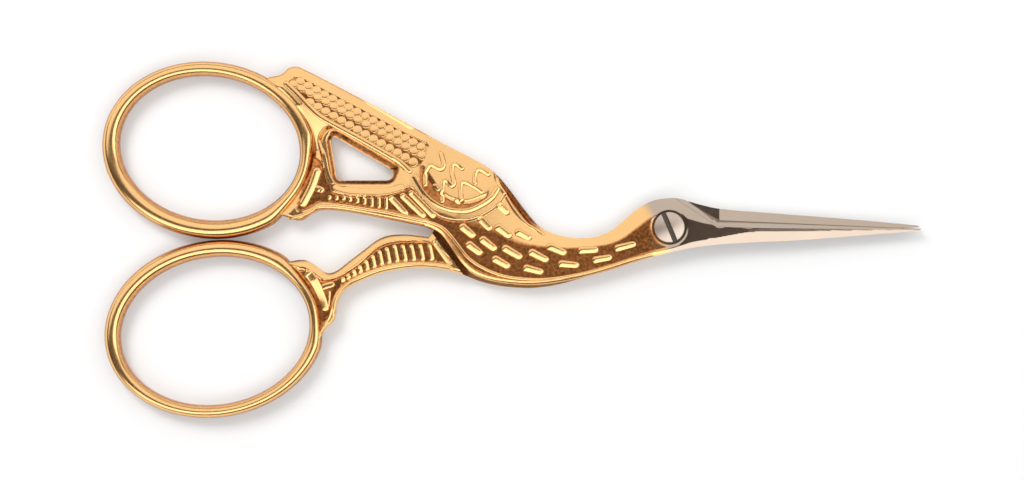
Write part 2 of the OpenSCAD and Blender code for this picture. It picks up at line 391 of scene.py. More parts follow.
def handling_marks():
    """Fine hairlines and soft blotches that handling leaves on a polished metal, and a grain."""
    tree, given, put = new_group(
        "Handling marks", "ShaderNodeTree",
        {"Scratch size": 900.0, "Stretch": 8.0, "Blotch size": 160.0, "Grain size": 2400.0},
        {title: "NodeSocketFloat" for title in ("Scratches", "Blotches", "Grain")})
    place = on_object(tree)
    long = shade(tree, "CombineXYZ", {"X": 1.0, "Y": given["Stretch"], "Z": 1.0})
    drawn = shade(tree, "VectorMath", {0: place, 1: long}, operation="MULTIPLY")
    turned = shade(tree, "VectorRotate", {"Vector": drawn, "Angle": SCRATCH_TURN},
                   rotation_type="Z_AXIS")
    for title, way, size, detail in (("Grain", place, "Grain size", 2.0),
                                     ("Scratches", turned, "Scratch size", 3.0),
                                     ("Blotches", place, "Blotch size", 2.0)):
        noise = shade(tree, "TexNoise", {"Vector": way, "Scale": given[size], "Detail": detail})
        tree.links.new(noise, put.inputs[title])
    return tree


MARKS = handling_marks()


def metal(name, steel_colour, steel_rough, slot_shade=None):
    """Gold plate that gives way to bare ground steel on the head. Given two heights it is all bare
    steel, with painted shade at the first of them, fading out by the second."""
    material = bpy.data.materials.new(name)
    material.use_nodes = True
    tree = material.node_tree
    shader = tree.nodes["Principled BSDF"]
    shader.inputs["Metallic"].default_value = 1.0
    marks = node(tree, "ShaderNodeGroup", node_tree=MARKS).outputs
    place = parts(tree, on_object(tree))
    rub = remap(tree, marks["Blotches"], 0.0, 1.0, *RUB)
    colour = scaled(tree, steel_colour[:3], rub)
    rough = remap(tree, marks["Scratches"], 0.0, 1.0, *steel_rough)
    if slot_shade:
        unshaded = remap(tree, place["Z"], slot_shade[0] * MM, slot_shade[1] * MM, SLOT_SHADE_DARK, 1.0)
        colour = scaled(tree, colour, unshaded)
    else:
        # Patina of the stamped recesses, with painted shade in pits, gaps, hollows and on steep sides.
        dull_and_shade = node(tree, "ShaderNodeAttribute", attribute_name="patina").outputs["Fac"]
        speck = remap(tree, marks["Grain"], *GRAIN_RANGE, *SPECK)
        dark = times(tree, speck, remap(tree, dull_and_shade, 1.0, 2.0, 1.0, DEEP_SHADE))
        gold = scaled(tree, blended(tree, dull_and_shade, GOLD, scaled(tree, RECESS_GOLD_AND_SHADE[:3], dark)), rub)
        lean = calc(tree, "MULTIPLY_ADD", place["Y"], PLATING_TILT, place["X"])
        wave = calc(tree, "MULTIPLY_ADD", marks["Blotches"], PLATING_WANDER * MM, lean)
        middle = PLATING_END + PLATING_WANDER / 2
        bare = remap(tree, wave, (middle - PLATING_FADE / 2) * MM, (middle + PLATING_FADE / 2) * MM,
                     kind="SMOOTHSTEP")
        colour = blended(tree, bare, gold, colour)
        soft = remap(tree, marks["Scratches"], 0.0, 1.0, *GOLD_ROUGH)
        soft = calc(tree, "MULTIPLY_ADD", calc(tree, "MINIMUM", dull_and_shade, 1.0), DULL_ROUGH, soft)
        rough = blended(tree, bare, soft, rough, "FLOAT")
    relief = shade(tree, "Bump", {"Height": marks["Scratches"], "Strength": SCRATCH_STRENGTH,
                                  "Distance": SCRATCH_DEPTH * MM})
    tree.links.new(colour, shader.inputs["Base Color"])
    tree.links.new(rough, shader.inputs["Roughness"])
    tree.links.new(relief, shader.inputs["Normal"])
    return material


PLATE_METAL = metal("gold_plate", STEEL, STEEL_ROUGH)

# Outlines of the leg half, and of the stork half that lies over it. Each starts and ends on a ring.
STORK_BACK = [
    (-57.5, 20.7), (-54.9, 21.2), (-54.1, 21.5), (-53.2, 22.3), (-52.2, 22.5), (-51, 22.05),
    (-48.6, 20.85), (-40, 16.35), (-31, 11.4), (-27, 9.35), (-24.6, 7.8), (-22.6, 5.6),
    (-19.8, 1.9), (-18, 0), (-15.8, -1), (-12.8, -1.55), (-9.7, -1.2), (-7.6, -0.15),
    (-5, 2.1), (-2.6, 3.6), (0.1, 4.1), (2.2, 3.85), (3.6, 3.05), (5.4, 1.9), (HEEL, EDGE_RISE)]
STORK_FRONT = [
    (BLADE_END, -0.2), (35, -0.45), (26.7, -1.15), (18.3, -1.8), (9.9, -2.2), (5, -2.6),
    (1.5, -3.2), (-2.7, -4.2), (-8.3, -6), (-13.9, -7.45), (-19, -8.1), (-23.7, -7.75),
    (-26.8, -6.9), (-28.9, -5.4), (-31.1, -2.3), (-32.3, -0.85), (-34.2, 0.1)]
SHANK_UNDER = [
    (-34.2, 0.1), (-39.8, 1.2), (-45.4, 2.2), (-48.6, 2.4), (-50, 1.9), (-51.2, 1.05),
    (-52.2, 0.95), (-54.1, 1.6), (-57, 1.7)]
LEG_OVER = [
    (-55.2, -4.9), (-53.4, -4.85), (-52, -4.6), (-50.8, -4.65), (-49.4, -5.45), (-48.2, -6.3),
    (-47.3, -6.4), (-46.3, -5.95), (-44.7, -4.7), (-42.6, -3.1), (-40.8, -1.75), (-39.2, -1.15),
    (-37, -1), (-34.9, -1.2)]
LEG_BACK = [
    (-24.9, 7.3), (-23, 5.4), (-20.2, 1.6), (-18.3, -0.45), (-15.9, -1.5), (-12.8, -2),
    (-9.7, -1.65), (-7.4, -0.5), (-5, 1.6), (-2.6, 3.15), (0, 3.8), (2.4, 3.7), (4.3, 3.2),
    (HEEL, 2.6), (15.5, 1.9), (23.9, 1.25), (34.9, 0.25), (35.2, 0)]
LEG_FRONT = [
    (HEEL, -EDGE_RISE), (5.4, -1.75), (3.6, -2.55), (1.6, -2.95), (-2.7, -4.05), (-8.3, -5.9),
    (-12.5, -7.2), (-16, -8.1), (-19.5, -8.5), (-23.7, -8.2), (-26.5, -7.55), (-29.4, -6.45),
    (-32.1, -5.85), (-34.9, -5.65), (-37.7, -5.9), (-40.5, -6.5), (-43.3, -7.6), (-45, -8.5),
    (-46, -9.5), (-46.5, -10.7), (-46.8, -11.9), (-47.3, -13.2), (-48.2, -14.3), (-49.3, -15.4),
    (-50.1, -17.4)]
BACK_LAP = arr([(-34, -0.7), (-24.4, 10.35)])
BELLY_LAP = arr([(-32.3, -0.85), (-28.9, -5.4)])
LEG_BACK_EDGE = moved(BACK_LAP, LAP_GAP)
LEG_LAP = moved(BELLY_LAP, LAP_GAP)[::-1]
LEG_CORNER = on_line(LEG_BACK_EDGE, -1.35)
LEG_TOP = on_line(LEG_BACK_EDGE, 7.7)

# Each ring: centre, length, width and turn of its hole and of its outer oval.
UPPER_HOLE = ((-64.351, 11.089), 25.3, 20.1, -8)
UPPER_RIM = ((-64.351, 10.809), 30.3, 24.8, -8)
LOWER_HOLE = ((-63.622, -14.528), 26.6, 20.6, 9.5)
LOWER_RIM = ((-63.622, -14.248), 31.2, 24.8, 9.5)


def bar_middle(hole, rim):
    return (arr(hole[0]) + arr(rim[0])) / 2, (hole[1] + rim[1]) / 2, (hole[2] + rim[2]) / 2, rim[3]


# Raised lines stand on a face that lies a little lower, and the stamped grounds lie lower still.
# The back slopes down to the outline over a width that changes along it. A span along x says where
# each of these runs out towards the blade.
FACE, FACE_END = 0.14, (-9, -2)
GROUND, GROUND_END = 0.26, (-6, 4)
GROUND_STEP = (0, 0.16)     # run of the step down to a stamped ground
RIM_W = 0.58
RIM_STEP = 0.14
RIM_SLOPE = math.tan(math.radians(21))
RIM_LIP = (0.25, 0.2, 2)
RIM_END = (-5, -0.5)
# where the dull ground of the neck and its painted shade end towards the blade
DULL_AND_SHADE_END = (-3, 5)
SLOPE_CLEAN = (0.02, 0.12)  # the back slope is bright from this share of it on
SLOPE_RATE = 0.34
SLOPE_DEEP = (0.1, 1.08)
SLOPE_POWER = 1.08
SLOPE_END = (6.8, 8.8)
SLOPE_X = (-54, -47, -43.5, -40, -37.5, -35, -33.5, -29.2, -26.1, -24.8, -22, -18.8, -17, -15.3,
           -12.5, -9.7, -6.9, -4.1, 0, 2.5, 4.2, 6.4, 8.6)
SLOPE_W = (1.6, 2.0, 2.6, 4.4, 6.6, 8.6, 9.1, 8.3, 6.3, 5.5, 4.2, 2.7, 2.1, 1.75,
           1.3, 1.4, 1.8, 2.1, 2.1, 2.1, 1.6, 0.9, 0.3)
WALL_START, WALL_END = (-24.8, -23.8), (-19.5, -17)     # steep foot of the slope, darkened with painted shade
WALL_W, WALL_DEEP = 0.95, 0.5
WALL_DARK = (0.7, WALL_W)   # distances from the outline over which the foot fades out, and its painted shade with it


def rim_bevel(x, e):
    """Depth of the bevel along the belly, at a distance e from the outline. It ends at the blade."""
    return (RIM_SLOPE * np.clip(RIM_W - e, 0, None) + falling(e, *RIM_LIP)) * until(x, RIM_END)


def back_slope(p, back):
    """Fall of the surface towards the bird's back, its share from the ridge to the outline, and
    which points lie on the steep foot."""
    x = p[:, 0]
    width = np.interp(x, SLOPE_X, SLOPE_W)
    d = distance(p, back)[0]
    share = falling(d, 1, width)
    fall = np.clip(SLOPE_RATE * width, *SLOPE_DEEP) * share ** SLOPE_POWER * until(x, SLOPE_END)
    wall = ramp(x, *WALL_START) * until(x, WALL_END) * until(d, WALL_DARK)
    return fall + falling(d, WALL_DEEP * wall, WALL_W), share, wall


def neck_shape(p, back, belly):
    """Depth of body, neck and head under the outer face, and how dull the plating is, with painted
    shade.
    """
    x = p[:, 0]
    e = distance(p, belly)[0]
    fall, share, wall = back_slope(p, back)
    ground = ramp(e, RIM_W, RIM_W + RIM_STEP)
    sunk = GROUND * ground * until(x, GROUND_END)
    # The steep foot of the back slope is darkened with painted shade.
    dull_and_shade = np.maximum(ground * until(share, SLOPE_CLEAN) * until(x, DULL_AND_SHADE_END), wall)
    return FACE * until(x, FACE_END) + np.maximum(rim_bevel(x, e), sunk) + fall, dull_and_shade


BLADE_RIDGE = 11.0
RIDGE_FALL = 0.043
BEVEL_START = (2.2, 3.85)
SPINE_LINE = arr([
    (-9, -6.4), (-5, -4.85), (-1.4, -3.1), (4.2, -1.95), (BLADE_RIDGE, -0.75), (BLADE_END, -0.42)])


def ridge_height(p):
    return THICK - RIDGE_FALL * np.clip(p[:, 0] - BLADE_RIDGE, 0, None)


def edge_bevel(p):
    """Height of the bevel that is ground at the cutting edge, on the stork half's side."""
    straight = beside(p, (HEEL, EDGE_RISE), (BLADE_END, -TIP_PAST))
    back = np.maximum(straight, beside(p, BEVEL_START, (HEEL, EDGE_RISE)))
    return FRONT_Z + EDGE_THICK + math.tan(EDGE_SLOPE) * back


def spine_facet(p):
    """Height of the long facet along the blade's outer edge."""
    x, y = p.T
    slope = np.interp(x, (BLADE_RIDGE, BLADE_END), (math.tan(NECK_SLOPE), math.tan(SPINE_SLOPE)))
    return ridge_height(p) - slope * (np.interp(x, *SPINE_LINE.T) - y)


def blade_face(p):
    """Height of the blade: bevel, a narrow flat ridge that falls towards the tip, and facet."""
    faces = np.minimum.reduce([edge_bevel(p), spine_facet(p), ridge_height(p)])
    return np.where(p[:, 0] > SPINE_LINE[0, 0], faces, THICK)


def crossing(face, other, x):
    """Point at x where one face of the blade meets another."""
    low, high = (face(arr([(x, y)])) - other(arr([(x, y)])) for y in (0.0, 1.0))
    return x, float(-low[0] / (high - low)[0])


BLADE_LINES = [
    [crossing(edge_bevel, ridge_height, x) for x in np.linspace(HEEL + 0.4, BLADE_END - 0.3, 12)],
    SPINE_LINE[2:]]

# The stamped grounds of the two leg panels, and the paths of the raised work on them.
LEG_GROUND = smooth([
    (-51.3, -5.9), (-49.9, -6.3), (-48.7, -7.3), (-47.2, -7.2), (-45.6, -6.6), (-43.1, -4.9),
    (-41.5, -3.4), (-40.2, -2.5), (-38.4, -2.0), (-33.6, -1.9), (-32.2, -2.9), (-30.3, -4.9),
    (-30.9, -5.2), (-32.7, -4.95), (-36.1, -4.8), (-38.7, -5.1), (-41.2, -5.8), (-43.6, -6.8),
    (-45.7, -8.2), (-46.6, -9.2), (-47.2, -10.8), (-47.6, -12.6), (-48.9, -13.9), (-49.6, -15.2),
    (-50.3, -14.0), (-50.8, -11.5), (-51.5, -9.0), (-52.4, -7.4), (-52.9, -6.3), (-51.3, -5.9)], 3)
LEG_RIM = smooth([
    (-50.3, -19.2), (-49.7, -17.0), (-49.0, -15.4), (-48.4, -14.1), (-47.1, -12.8), (-46.9, -11.2),
    (-46.5, -9.7), (-45.6, -8.4), (-43.6, -7.0), (-41.2, -6.0), (-38.7, -5.35), (-36.1, -5.05),
    (-32.7, -5.15), (-31.0, -5.45), (-30.1, -5.9)], 4)
LEG_BAR = [(-32.95, -1.9), (-31.6, -3.72), (-30.3, -5.5)]
LEG_CROSS = smooth([(-47.95, -11.8), (-48.45, -10.2), (-49.05, -8.7), (-49.85, -7.2), (-50.7, -6.1)], 4)
LEG_BUD = [(-48.7, -8.5), (-47.7, -8.1), (-46.8, -7.9)]
LEG_STEM = [(-47.75, -11.3), (-47.6, -10.2), (-47.5, -8.9)]
CROSS_DIP = 0.22            # the ground is deeper round the cross at the ring
CROSS_X, CROSS_Y = (-47.5, -45.5), (-10.5, -6)
LEG_EDGE_ROUND = (0.35, 0.45, 1.6)
LEG_TOP_ROUND = (0.45, 0.9, 1.5)
UNDER_BAR = 0.45            # how deep a half lies where the ring's bar covers it
LEG_BAR_FADE = (0.93, 1.0)  # shares of the ring's oval over which that ends
GROUND_DULL_AND_SHADE = (0.02, 0.14)  # distances from a ground's edge over which it turns dull and gets painted shade
leg_line = np.vstack([smooth(LEG_OVER), [LEG_CORNER], smooth([LEG_TOP] + LEG_BACK), smooth(LEG_FRONT)])
leg_outline = closed_on_ring(leg_line, bar_middle(LOWER_HOLE, LOWER_RIM))
LEG_TOP_EDGE = np.vstack([smooth(LEG_OVER), [LEG_CORNER, on_line(LEG_BACK_EDGE, -0.3)]])
LEG_EDGE = smooth(LEG_FRONT[-15:])
LEG_BACK_LINE = smooth([LEG_TOP] + LEG_BACK[:13])
LEG_BELLY = smooth(LEG_FRONT[2:13])
THREAD_HOLE_R = 1.12
HOLLOW_SLOPE = 0.16         # the blade's inner face falls away from its cutting edge
HOLLOW_LEAD = 0.3           # and from a line this far outside the edge
# Painted shade on the lapped face of the leg half, and more of it in the gap at the step.
LAP_SHADE, LAP_SHADE_END = 0.4, (-6, -2)
GAP_SHADE, GAP_W, GAP_END = 1.9, (0.6, 0.9), (-29, -27)
TO_BODY = (-33.5, -30.5)    # the back changes from the leg's relief to the body's


def leg_shape(p):
    """Depth of the leg under the outer face, and how dull the plating is there, with painted shade."""
    x, y = p.T
    d = depth_in(p, LEG_GROUND)
    cross_dip = CROSS_DIP * until(y, CROSS_Y) * until(x, CROSS_X)
    ground = (GROUND + cross_dip) * ramp(d, *GROUND_STEP)
    edge = falling(distance(p, LEG_EDGE)[0], *LEG_EDGE_ROUND)
    over = falling(distance(p, LEG_TOP_EDGE)[0], *LEG_TOP_ROUND)
    under_bar = UNDER_BAR * until(in_oval(p, *LOWER_RIM)[1], LEG_BAR_FADE)
    return FACE + np.maximum.reduce([ground, edge + over, under_bar]), ramp(d, *GROUND_DULL_AND_SHADE)


def inner_hollow(x, y):
    """Depth of the blade's hollow inner face. y runs from the cutting edge towards the spine."""
    edge_y = EDGE_RISE - (EDGE_RISE + TIP_PAST) * (x - HEEL) / (BLADE_END - HEEL)
    return np.where(x > HEEL, HOLLOW_SLOPE * np.clip(y - edge_y + HOLLOW_LEAD, 0, None), 0)


def leg_heights(p):
    """Heights of the leg half's two faces, and their patinas with painted shade. The lapped face
    shines, but painted shade darkens it towards the handle, most in the gap at the step, where no light
    comes."""
    x, y = p.T
    depth, dull_and_shade = leg_shape(p)
    body, body_dull_and_shade = neck_shape(p, LEG_BACK_LINE, LEG_BELLY)
    past_step = beside(p, *LEG_LAP)
    lapped = past_step > 0
    top = np.where(lapped, HALF - inner_hollow(x, y), THICK - depth)
    gap_shade = LAP_SHADE * until(x, LAP_SHADE_END)
    gap_shade += (GAP_SHADE - LAP_SHADE) * until(past_step, GAP_W) * until(x, GAP_END)
    change = ramp(x, *TO_BODY)
    under = np.maximum(depth * (1 - change) + body * change, THICK - blade_face(p * [1, -1]))
    return top, under, (np.where(lapped, gap_shade, dull_and_shade), dull_and_shade * (1 - change) + body_dull_and_shade * change)


def ring_of(radius, n):
    return oval((0, 0), 2 * radius, 2 * radius, 0, np.arange(n) * 2 * math.pi / n)


def step_guides(line):
    """Two lines close together, on either side of a step, a little longer than the step."""
    a, b = arr(line)
    u = unit(b - a) * 2
    return [moved([a - u, b + u], STEP_RUN / 2), moved([a - u, b + u], -STEP_RUN / 2)]


leg_body = plate("leg_half_body", leg_outline, [ring_of(THREAD_HOLE_R, 48)],
                 step_guides(LEG_LAP) + step_guides([(HEEL, 0.5), (HEEL, 2.5)])
                 + [arr(l) * [1, -1] for l in BLADE_LINES],
                 leg_heights, PLATE_METAL)
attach(leg_body, "leg_side")
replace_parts(leg_body, "leg_half")

# Raised work is one kind of thing: a bead with a half-round section that follows a path and is
# rounded off at both ends. Its half width comes with the path.
END_STEPS = 5           # points along each rounded end
BEAD_STEP = 0.18        # and spacing of the others
GEOMETRY, MATERIAL = "NodeSocketGeometry", "NodeSocketMaterial"


def on_place(tree):
    return parts(tree, geo(tree, "InputPosition", {}))


def squared(tree, value, power):
    """Value with its size raised to a power: a power below 1 squares off a round section."""
    size = calc(tree, "POWER", calc(tree, "ABSOLUTE", value), power)
    return times(tree, calc(tree, "SIGN", value), size)


def coated(tree, geometry, given, put):
    """Ends a tree: real geometry with smooth shading and its metal."""
    real = geo(tree, "RealizeInstances", {0: geometry})
    soft = geo(tree, "SetShadeSmooth", {"Geometry": real})
    coat = geo(tree, "SetMaterial", {"Geometry": soft, "Material": given["Metal"]})
    tree.links.new(coat, put.inputs[0])
    return tree


def bead_tree():
    tree, given, put = new_group(
        "Raised beads", "GeometryNodeTree",
        {"Paths": GEOMETRY, "Rise to width": 0.5, "Squareness": 1.0, "Lean": 0.0, "Sides": 16,
         "Metal": MATERIAL}, {"Beads": GEOMETRY})
    curve = geo(tree, "MeshToCurve", {"Mesh": given["Paths"]})
    up = geo(tree, "SetCurveNormal", {"Curve": curve}, mode="Z_UP")
    lean = geo(tree, "SetCurveTilt", {"Curve": up, "Tilt": given["Lean"]})
    circle = geo(tree, "CurvePrimitiveCircle", {"Resolution": given["Sides"], "Radius": 1.0})
    place = on_place(tree)
    wide = squared(tree, place["X"], given["Squareness"])
    tall = times(tree, squared(tree, place["Y"], given["Squareness"]), given["Rise to width"])
    at = shade(tree, "CombineXYZ", {"X": wide, "Y": tall})
    section = geo(tree, "SetPosition", {"Geometry": circle, "Position": at})
    width = geo(tree, "InputNamedAttribute", {"Name": "half_width"}, data_type="FLOAT")
    swept = geo(tree, "CurveToMesh",
                {"Curve": lean, "Profile Curve": section, "Scale": width, "Fill Caps": True})
    return coated(tree, swept, given, put)


BEADS = bead_tree()


def bead(line, width, end_width=None, blunt=0.5):
    """Path points and half widths of one bead. blunt is the length of its rounded ends, in widths."""
    p = dense(line, BEAD_STEP)
    run = np.concatenate([[0], np.cumsum(np.hypot(*np.diff(p, axis=0).T))])
    reach = min(blunt * width, run[-1] / 2.2)
    ease = reach * (1 - np.cos(np.linspace(0, math.pi / 2, END_STEPS + 1)))
    stops = np.concatenate([ease, run[(run > reach) & (run < run[-1] - reach)], (run[-1] - ease)[::-1]])
    xy = np.column_stack([np.interp(stops, run, p[:, k]) for k in (0, 1)])
    near = np.minimum(stops, run[-1] - stops) / reach
    half = np.interp(stops, [0, run[-1]], [width / 2, (end_width or width) / 2])
    return xy, half * np.sqrt(np.clip(1 - (1 - np.clip(near, 0, 1)) ** 2, 1e-4, 1))


def finished(name, source, tree, values, body):
    """Turns what a node tree makes of an object into a plain gold mesh that rides on a body."""
    run = source.modifiers.new(tree.name, "NODES")
    run.node_group = tree
    sockets = {s.name: s.identifier for s in tree.interface.items_tree if s.item_type == "SOCKET"}
    for title, value in values.items():
        run[sockets[title]] = value
    mesh = evaluated(source)
    source.modifiers.remove(run)
    old = source.data
    source.data = mesh
    bpy.data.meshes.remove(old)
    solid = bmesh.new()
    solid.from_mesh(mesh)
    if solid.calc_volume(signed=True) < 0:
        mesh.flip_normals()
    solid.free()
    source.name = mesh.name = name
    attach(source, body)
    return source


CREST_CLEAR = 0.01      # how far a crest stays under the half's thickness
LEAN_RISE = 0.6         # how much a lean raises a crest, in half widths


def raised_work(name, beads, heights, body, rise, back=False, square=1.0, lean=0, fall=0.0, lift=0.0):
    """Beads laid on one side of a half, none with its crest above the half's thickness.

    rise is their height in half widths, square below 1 squares their section off, lean turns their
    tops to the right of the path, fall is how much lower a path's end lies, and lift is how far
    they stand clear of the face.
    """
    verts, edges, halves = [], [], []
    for xy, half in beads:
        start = len(halves)
        crest = CREST_CLEAR + half * (rise + LEAN_RISE * abs(math.sin(math.radians(lean))))
        share = np.linspace(0, 1, len(xy)) if fall > 0 else np.linspace(-1, 0, len(xy))
        top, under, _ = heights(xy)
        z = np.maximum(under - lift, crest) if back else np.minimum(top + lift, THICK - crest)
        z = z + share * fall * (1 if back else -1)
        verts += np.column_stack([xy, z]).tolist()
        edges += [(start + k, start + k + 1) for k in range(len(xy) - 1)]
        halves += half.tolist()
    mesh = new_mesh(name, verts, edges, [], half_width=arr(halves) * MM)
    values = {"Rise to width": rise, "Squareness": square, "Metal": PLATE_METAL,
              "Lean": math.radians(-lean if back else lean)}
    return finished(name, placed(name, mesh), BEADS, values, body)


RIB_COUNT = 13
RIB_START, RIB_PITCH, RIB_SPREAD = -45.6, 0.72, 0.025
RIB_LEAN = 0.2
RIB_WIDTHS = (0.76, 0.68, 0.4)      # at the foot, at the top, and the bluntness of the ends
RIB_TOPS = (-45.7, -43.3, -41.8, -40.5, -38.4, -33.0), (-7.0, -5.35, -4.1, -3.2, -2.4, -2.3)
RIB_FEET = (-45.4, -43, -40.5, -37.7, -33), (-7.8, -6.5, -5.5, -4.95, -4.75)


def leg_ribs():
    """Ribs across the leg, upright and leaning back a little, each between the two rims."""
    k = np.arange(RIB_COUNT)
    x = RIB_START + RIB_PITCH * k + RIB_SPREAD * k * k
    top = np.interp(x, *RIB_TOPS)
    foot = np.interp(x, *RIB_FEET)
    lean = RIB_LEAN * (top - foot)
    ends = zip(x + lean / 2, foot, x - lean / 2, top)
    return [bead([(a, b), (c, d)], *RIB_WIDTHS) for a, b, c, d in ends]


LEG_WORK = [
    ("leg_ribs", leg_ribs(), dict(rise=0.45, square=0.75, lean=8, fall=-0.2, lift=0.1)),
    ("leg_cross", [bead(LEG_CROSS, 1.0, 1.45), bead(LEG_BUD, 0.95), bead(LEG_STEM, 0.35)],
     dict(rise=0.36, square=0.75, fall=-0.3, lift=0.2)),
    ("leg_bar", [bead(LEG_BAR, 0.85, 1.15)], dict(rise=0.45, square=0.8, lean=7, fall=0.28, lift=0.17)),
    ("leg_rim", [bead(LEG_RIM, 0.42)], dict(rise=0.6))]
for back in (False, True):
    for name, beads, form in LEG_WORK:
        end = "_back" if back else ""
        raised_work(name + end, beads, leg_heights, "leg_side", back=back, **form)

# Finger rings: each is one piece with its half, a forged bar of round section bent to an oval and
# filed smooth. The hole lies a little off the middle, so that the bar is thickest where they meet.
JOINT_SPAN = [math.cos(math.radians(a)) for a in (36, 10)]      # the bar thins where the ring joins
SHADED_FLANK = (0.6, 0.88)    # the bar's flanks get painted shade, its front stays bright
BAR_SQUARENESS = 0.86
RIM_TRIM = 0.014            # keeps the round rim within the facets of the CAD's


def ring_tree():
    """Ring whose bar is bent from a flat grid: X goes round the ring, Y goes round the bar."""
    tree, given, put = new_group(
        "Finger ring", "GeometryNodeTree",
        {"Start": GEOMETRY, "Hole length": 0.025, "Hole width": 0.02, "Rim length": 0.03,
         "Rim width": 0.025, "Turn": 0.0, "Hole centre": (0.0, 0.0, 0.0), "Rim centre": (0.0, 0.0, 0.0),
         "Thickness": 0.003, "Squareness": 0.9, "Joint angle": 0.0, "Joint narrowing": 0.3,
         "Sections": 289, "Sides": 41, "Metal": MATERIAL}, {"Ring": GEOMETRY})
    grid = geo(tree, "MeshGrid", {"Size X": 1.0, "Size Y": 1.0, "Vertices X": given["Sections"],
                                  "Vertices Y": given["Sides"]})
    place = on_place(tree)
    round_way, bar_way = (calc(tree, "MULTIPLY_ADD", place[k], 2 * math.pi, math.pi) for k in "XY")

    def on_oval(which):
        x = times(tree, calc(tree, "COSINE", round_way), 0.5)
        y = times(tree, calc(tree, "SINE", round_way), 0.5)
        flat = shade(tree, "CombineXYZ", {"X": times(tree, x, given[which + " length"]),
                                          "Y": times(tree, y, given[which + " width"])})
        turned = shade(tree, "VectorRotate", {"Vector": flat, "Angle": given["Turn"]},
                       rotation_type="Z_AXIS")
        return shade(tree, "VectorMath", {0: turned, 1: given[which + " centre"]}, operation="ADD")

    def bar_share(operation):
        way = squared(tree, calc(tree, operation, bar_way), given["Squareness"])
        return calc(tree, "MULTIPLY_ADD", way, 0.5, 0.5)

    off_joint = calc(tree, "COSINE", calc(tree, "SUBTRACT", round_way, given["Joint angle"]))
    at_joint = remap(tree, off_joint, *JOINT_SPAN, kind="SMOOTHSTEP")
    kept = calc(tree, "SUBTRACT", 1.0, times(tree, at_joint, given["Joint narrowing"]))
    share = times(tree, bar_share("COSINE"), kept)
    flat = blended(tree, share, on_oval("Hole"), on_oval("Rim"), "VECTOR")
    height = shade(tree, "CombineXYZ", {"Z": times(tree, bar_share("SINE"), given["Thickness"])})
    at = shade(tree, "VectorMath", {0: flat, 1: height}, operation="ADD")
    # Painted shade on the bar's steep flanks, twice as dark where the ring joins its half.
    flank = calc(tree, "ABSOLUTE", calc(tree, "COSINE", bar_way))
    steep = remap(tree, flank, *SHADED_FLANK, kind="SMOOTHSTEP")
    tone = times(tree, steep, calc(tree, "ADD", at_joint, 1.0))
    shaded_grid = geo(tree, "StoreNamedAttribute", {"Geometry": grid, "Name": "patina", "Value": tone},
                 data_type="FLOAT", domain="POINT")
    bent = geo(tree, "SetPosition", {"Geometry": shaded_grid, "Position": at})
    joined = geo(tree, "MergeByDistance", {"Geometry": bent, "Distance": 1e-6})
    return coated(tree, joined, given, put)


RINGS = ring_tree()


def finger_ring(name, hole, rim, joint, body):
    values = {"Turn": math.radians(rim[3]), "Thickness": THICK * MM, "Squareness": BAR_SQUARENESS,
              "Joint angle": math.radians(joint), "Metal": PLATE_METAL}
    for which, (centre, length, width, _), trim in (("Hole", hole, 0), ("Rim", rim, RIM_TRIM)):
        values[which + " centre"] = (centre[0] * MM, centre[1] * MM, 0.0)
        values[which + " length"] = (length - trim) * MM
        values[which + " width"] = (width - trim) * MM
    return finished(name, placed(name, bpy.data.meshes.new(name)), RINGS, values, body)


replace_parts(finger_ring("lower_finger_ring", LOWER_HOLE, LOWER_RIM, 10, "leg_side"), "leg_half")
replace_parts(finger_ring("upper_finger_ring", UPPER_HOLE, UPPER_RIM, -13, "stork_side"), "stork_half")

# Stork half: one steel forging with the upper finger ring, the tail and wing, a window between wing
# and shank, the front of the body, the neck and head, and the lower blade. The wing, the shoulder,
# the shank and the neck are stamped, each in its own way.
SCREW_R = 2.15
HEAD_CLEAR = 0.3
RECESS_R = SCREW_R + HEAD_CLEAR
BORE_R = 1.45
WEB_THICK = 0.7
LIP_W = 0.26            # bevel round the screw's recess
LIP_FALL = 0.06
WINDOW_CORNERS = arr([(-47.6, 13.2), (-36.2, 6.55), (-46.5, 6.55)])
WINDOW_ROUNDS = (0.6, 0.9, 0.6)


def rounded_triangle(corners, rounds):
    """Outline of a triangle whose corners have the given radii."""
    out = []
    for k in range(3):
        a, b, c = corners[k], corners[(k + 1) % 3], corners[(k + 2) % 3]
        on, back = unit(b - a), unit(c - a)
        half = math.acos(on @ back) / 2
        centre = a + unit(on + back) * rounds[k] / math.sin(half)
        first = math.atan2(*(a + back * (back @ (centre - a)) - centre)[::-1])
        angles = first + np.sign(np.cross(on, back)) * np.linspace(0, math.pi - 2 * half, 9)
        out.append(centre + rounds[k] * np.column_stack([np.cos(angles), np.sin(angles)]))
    return np.vstack(out)


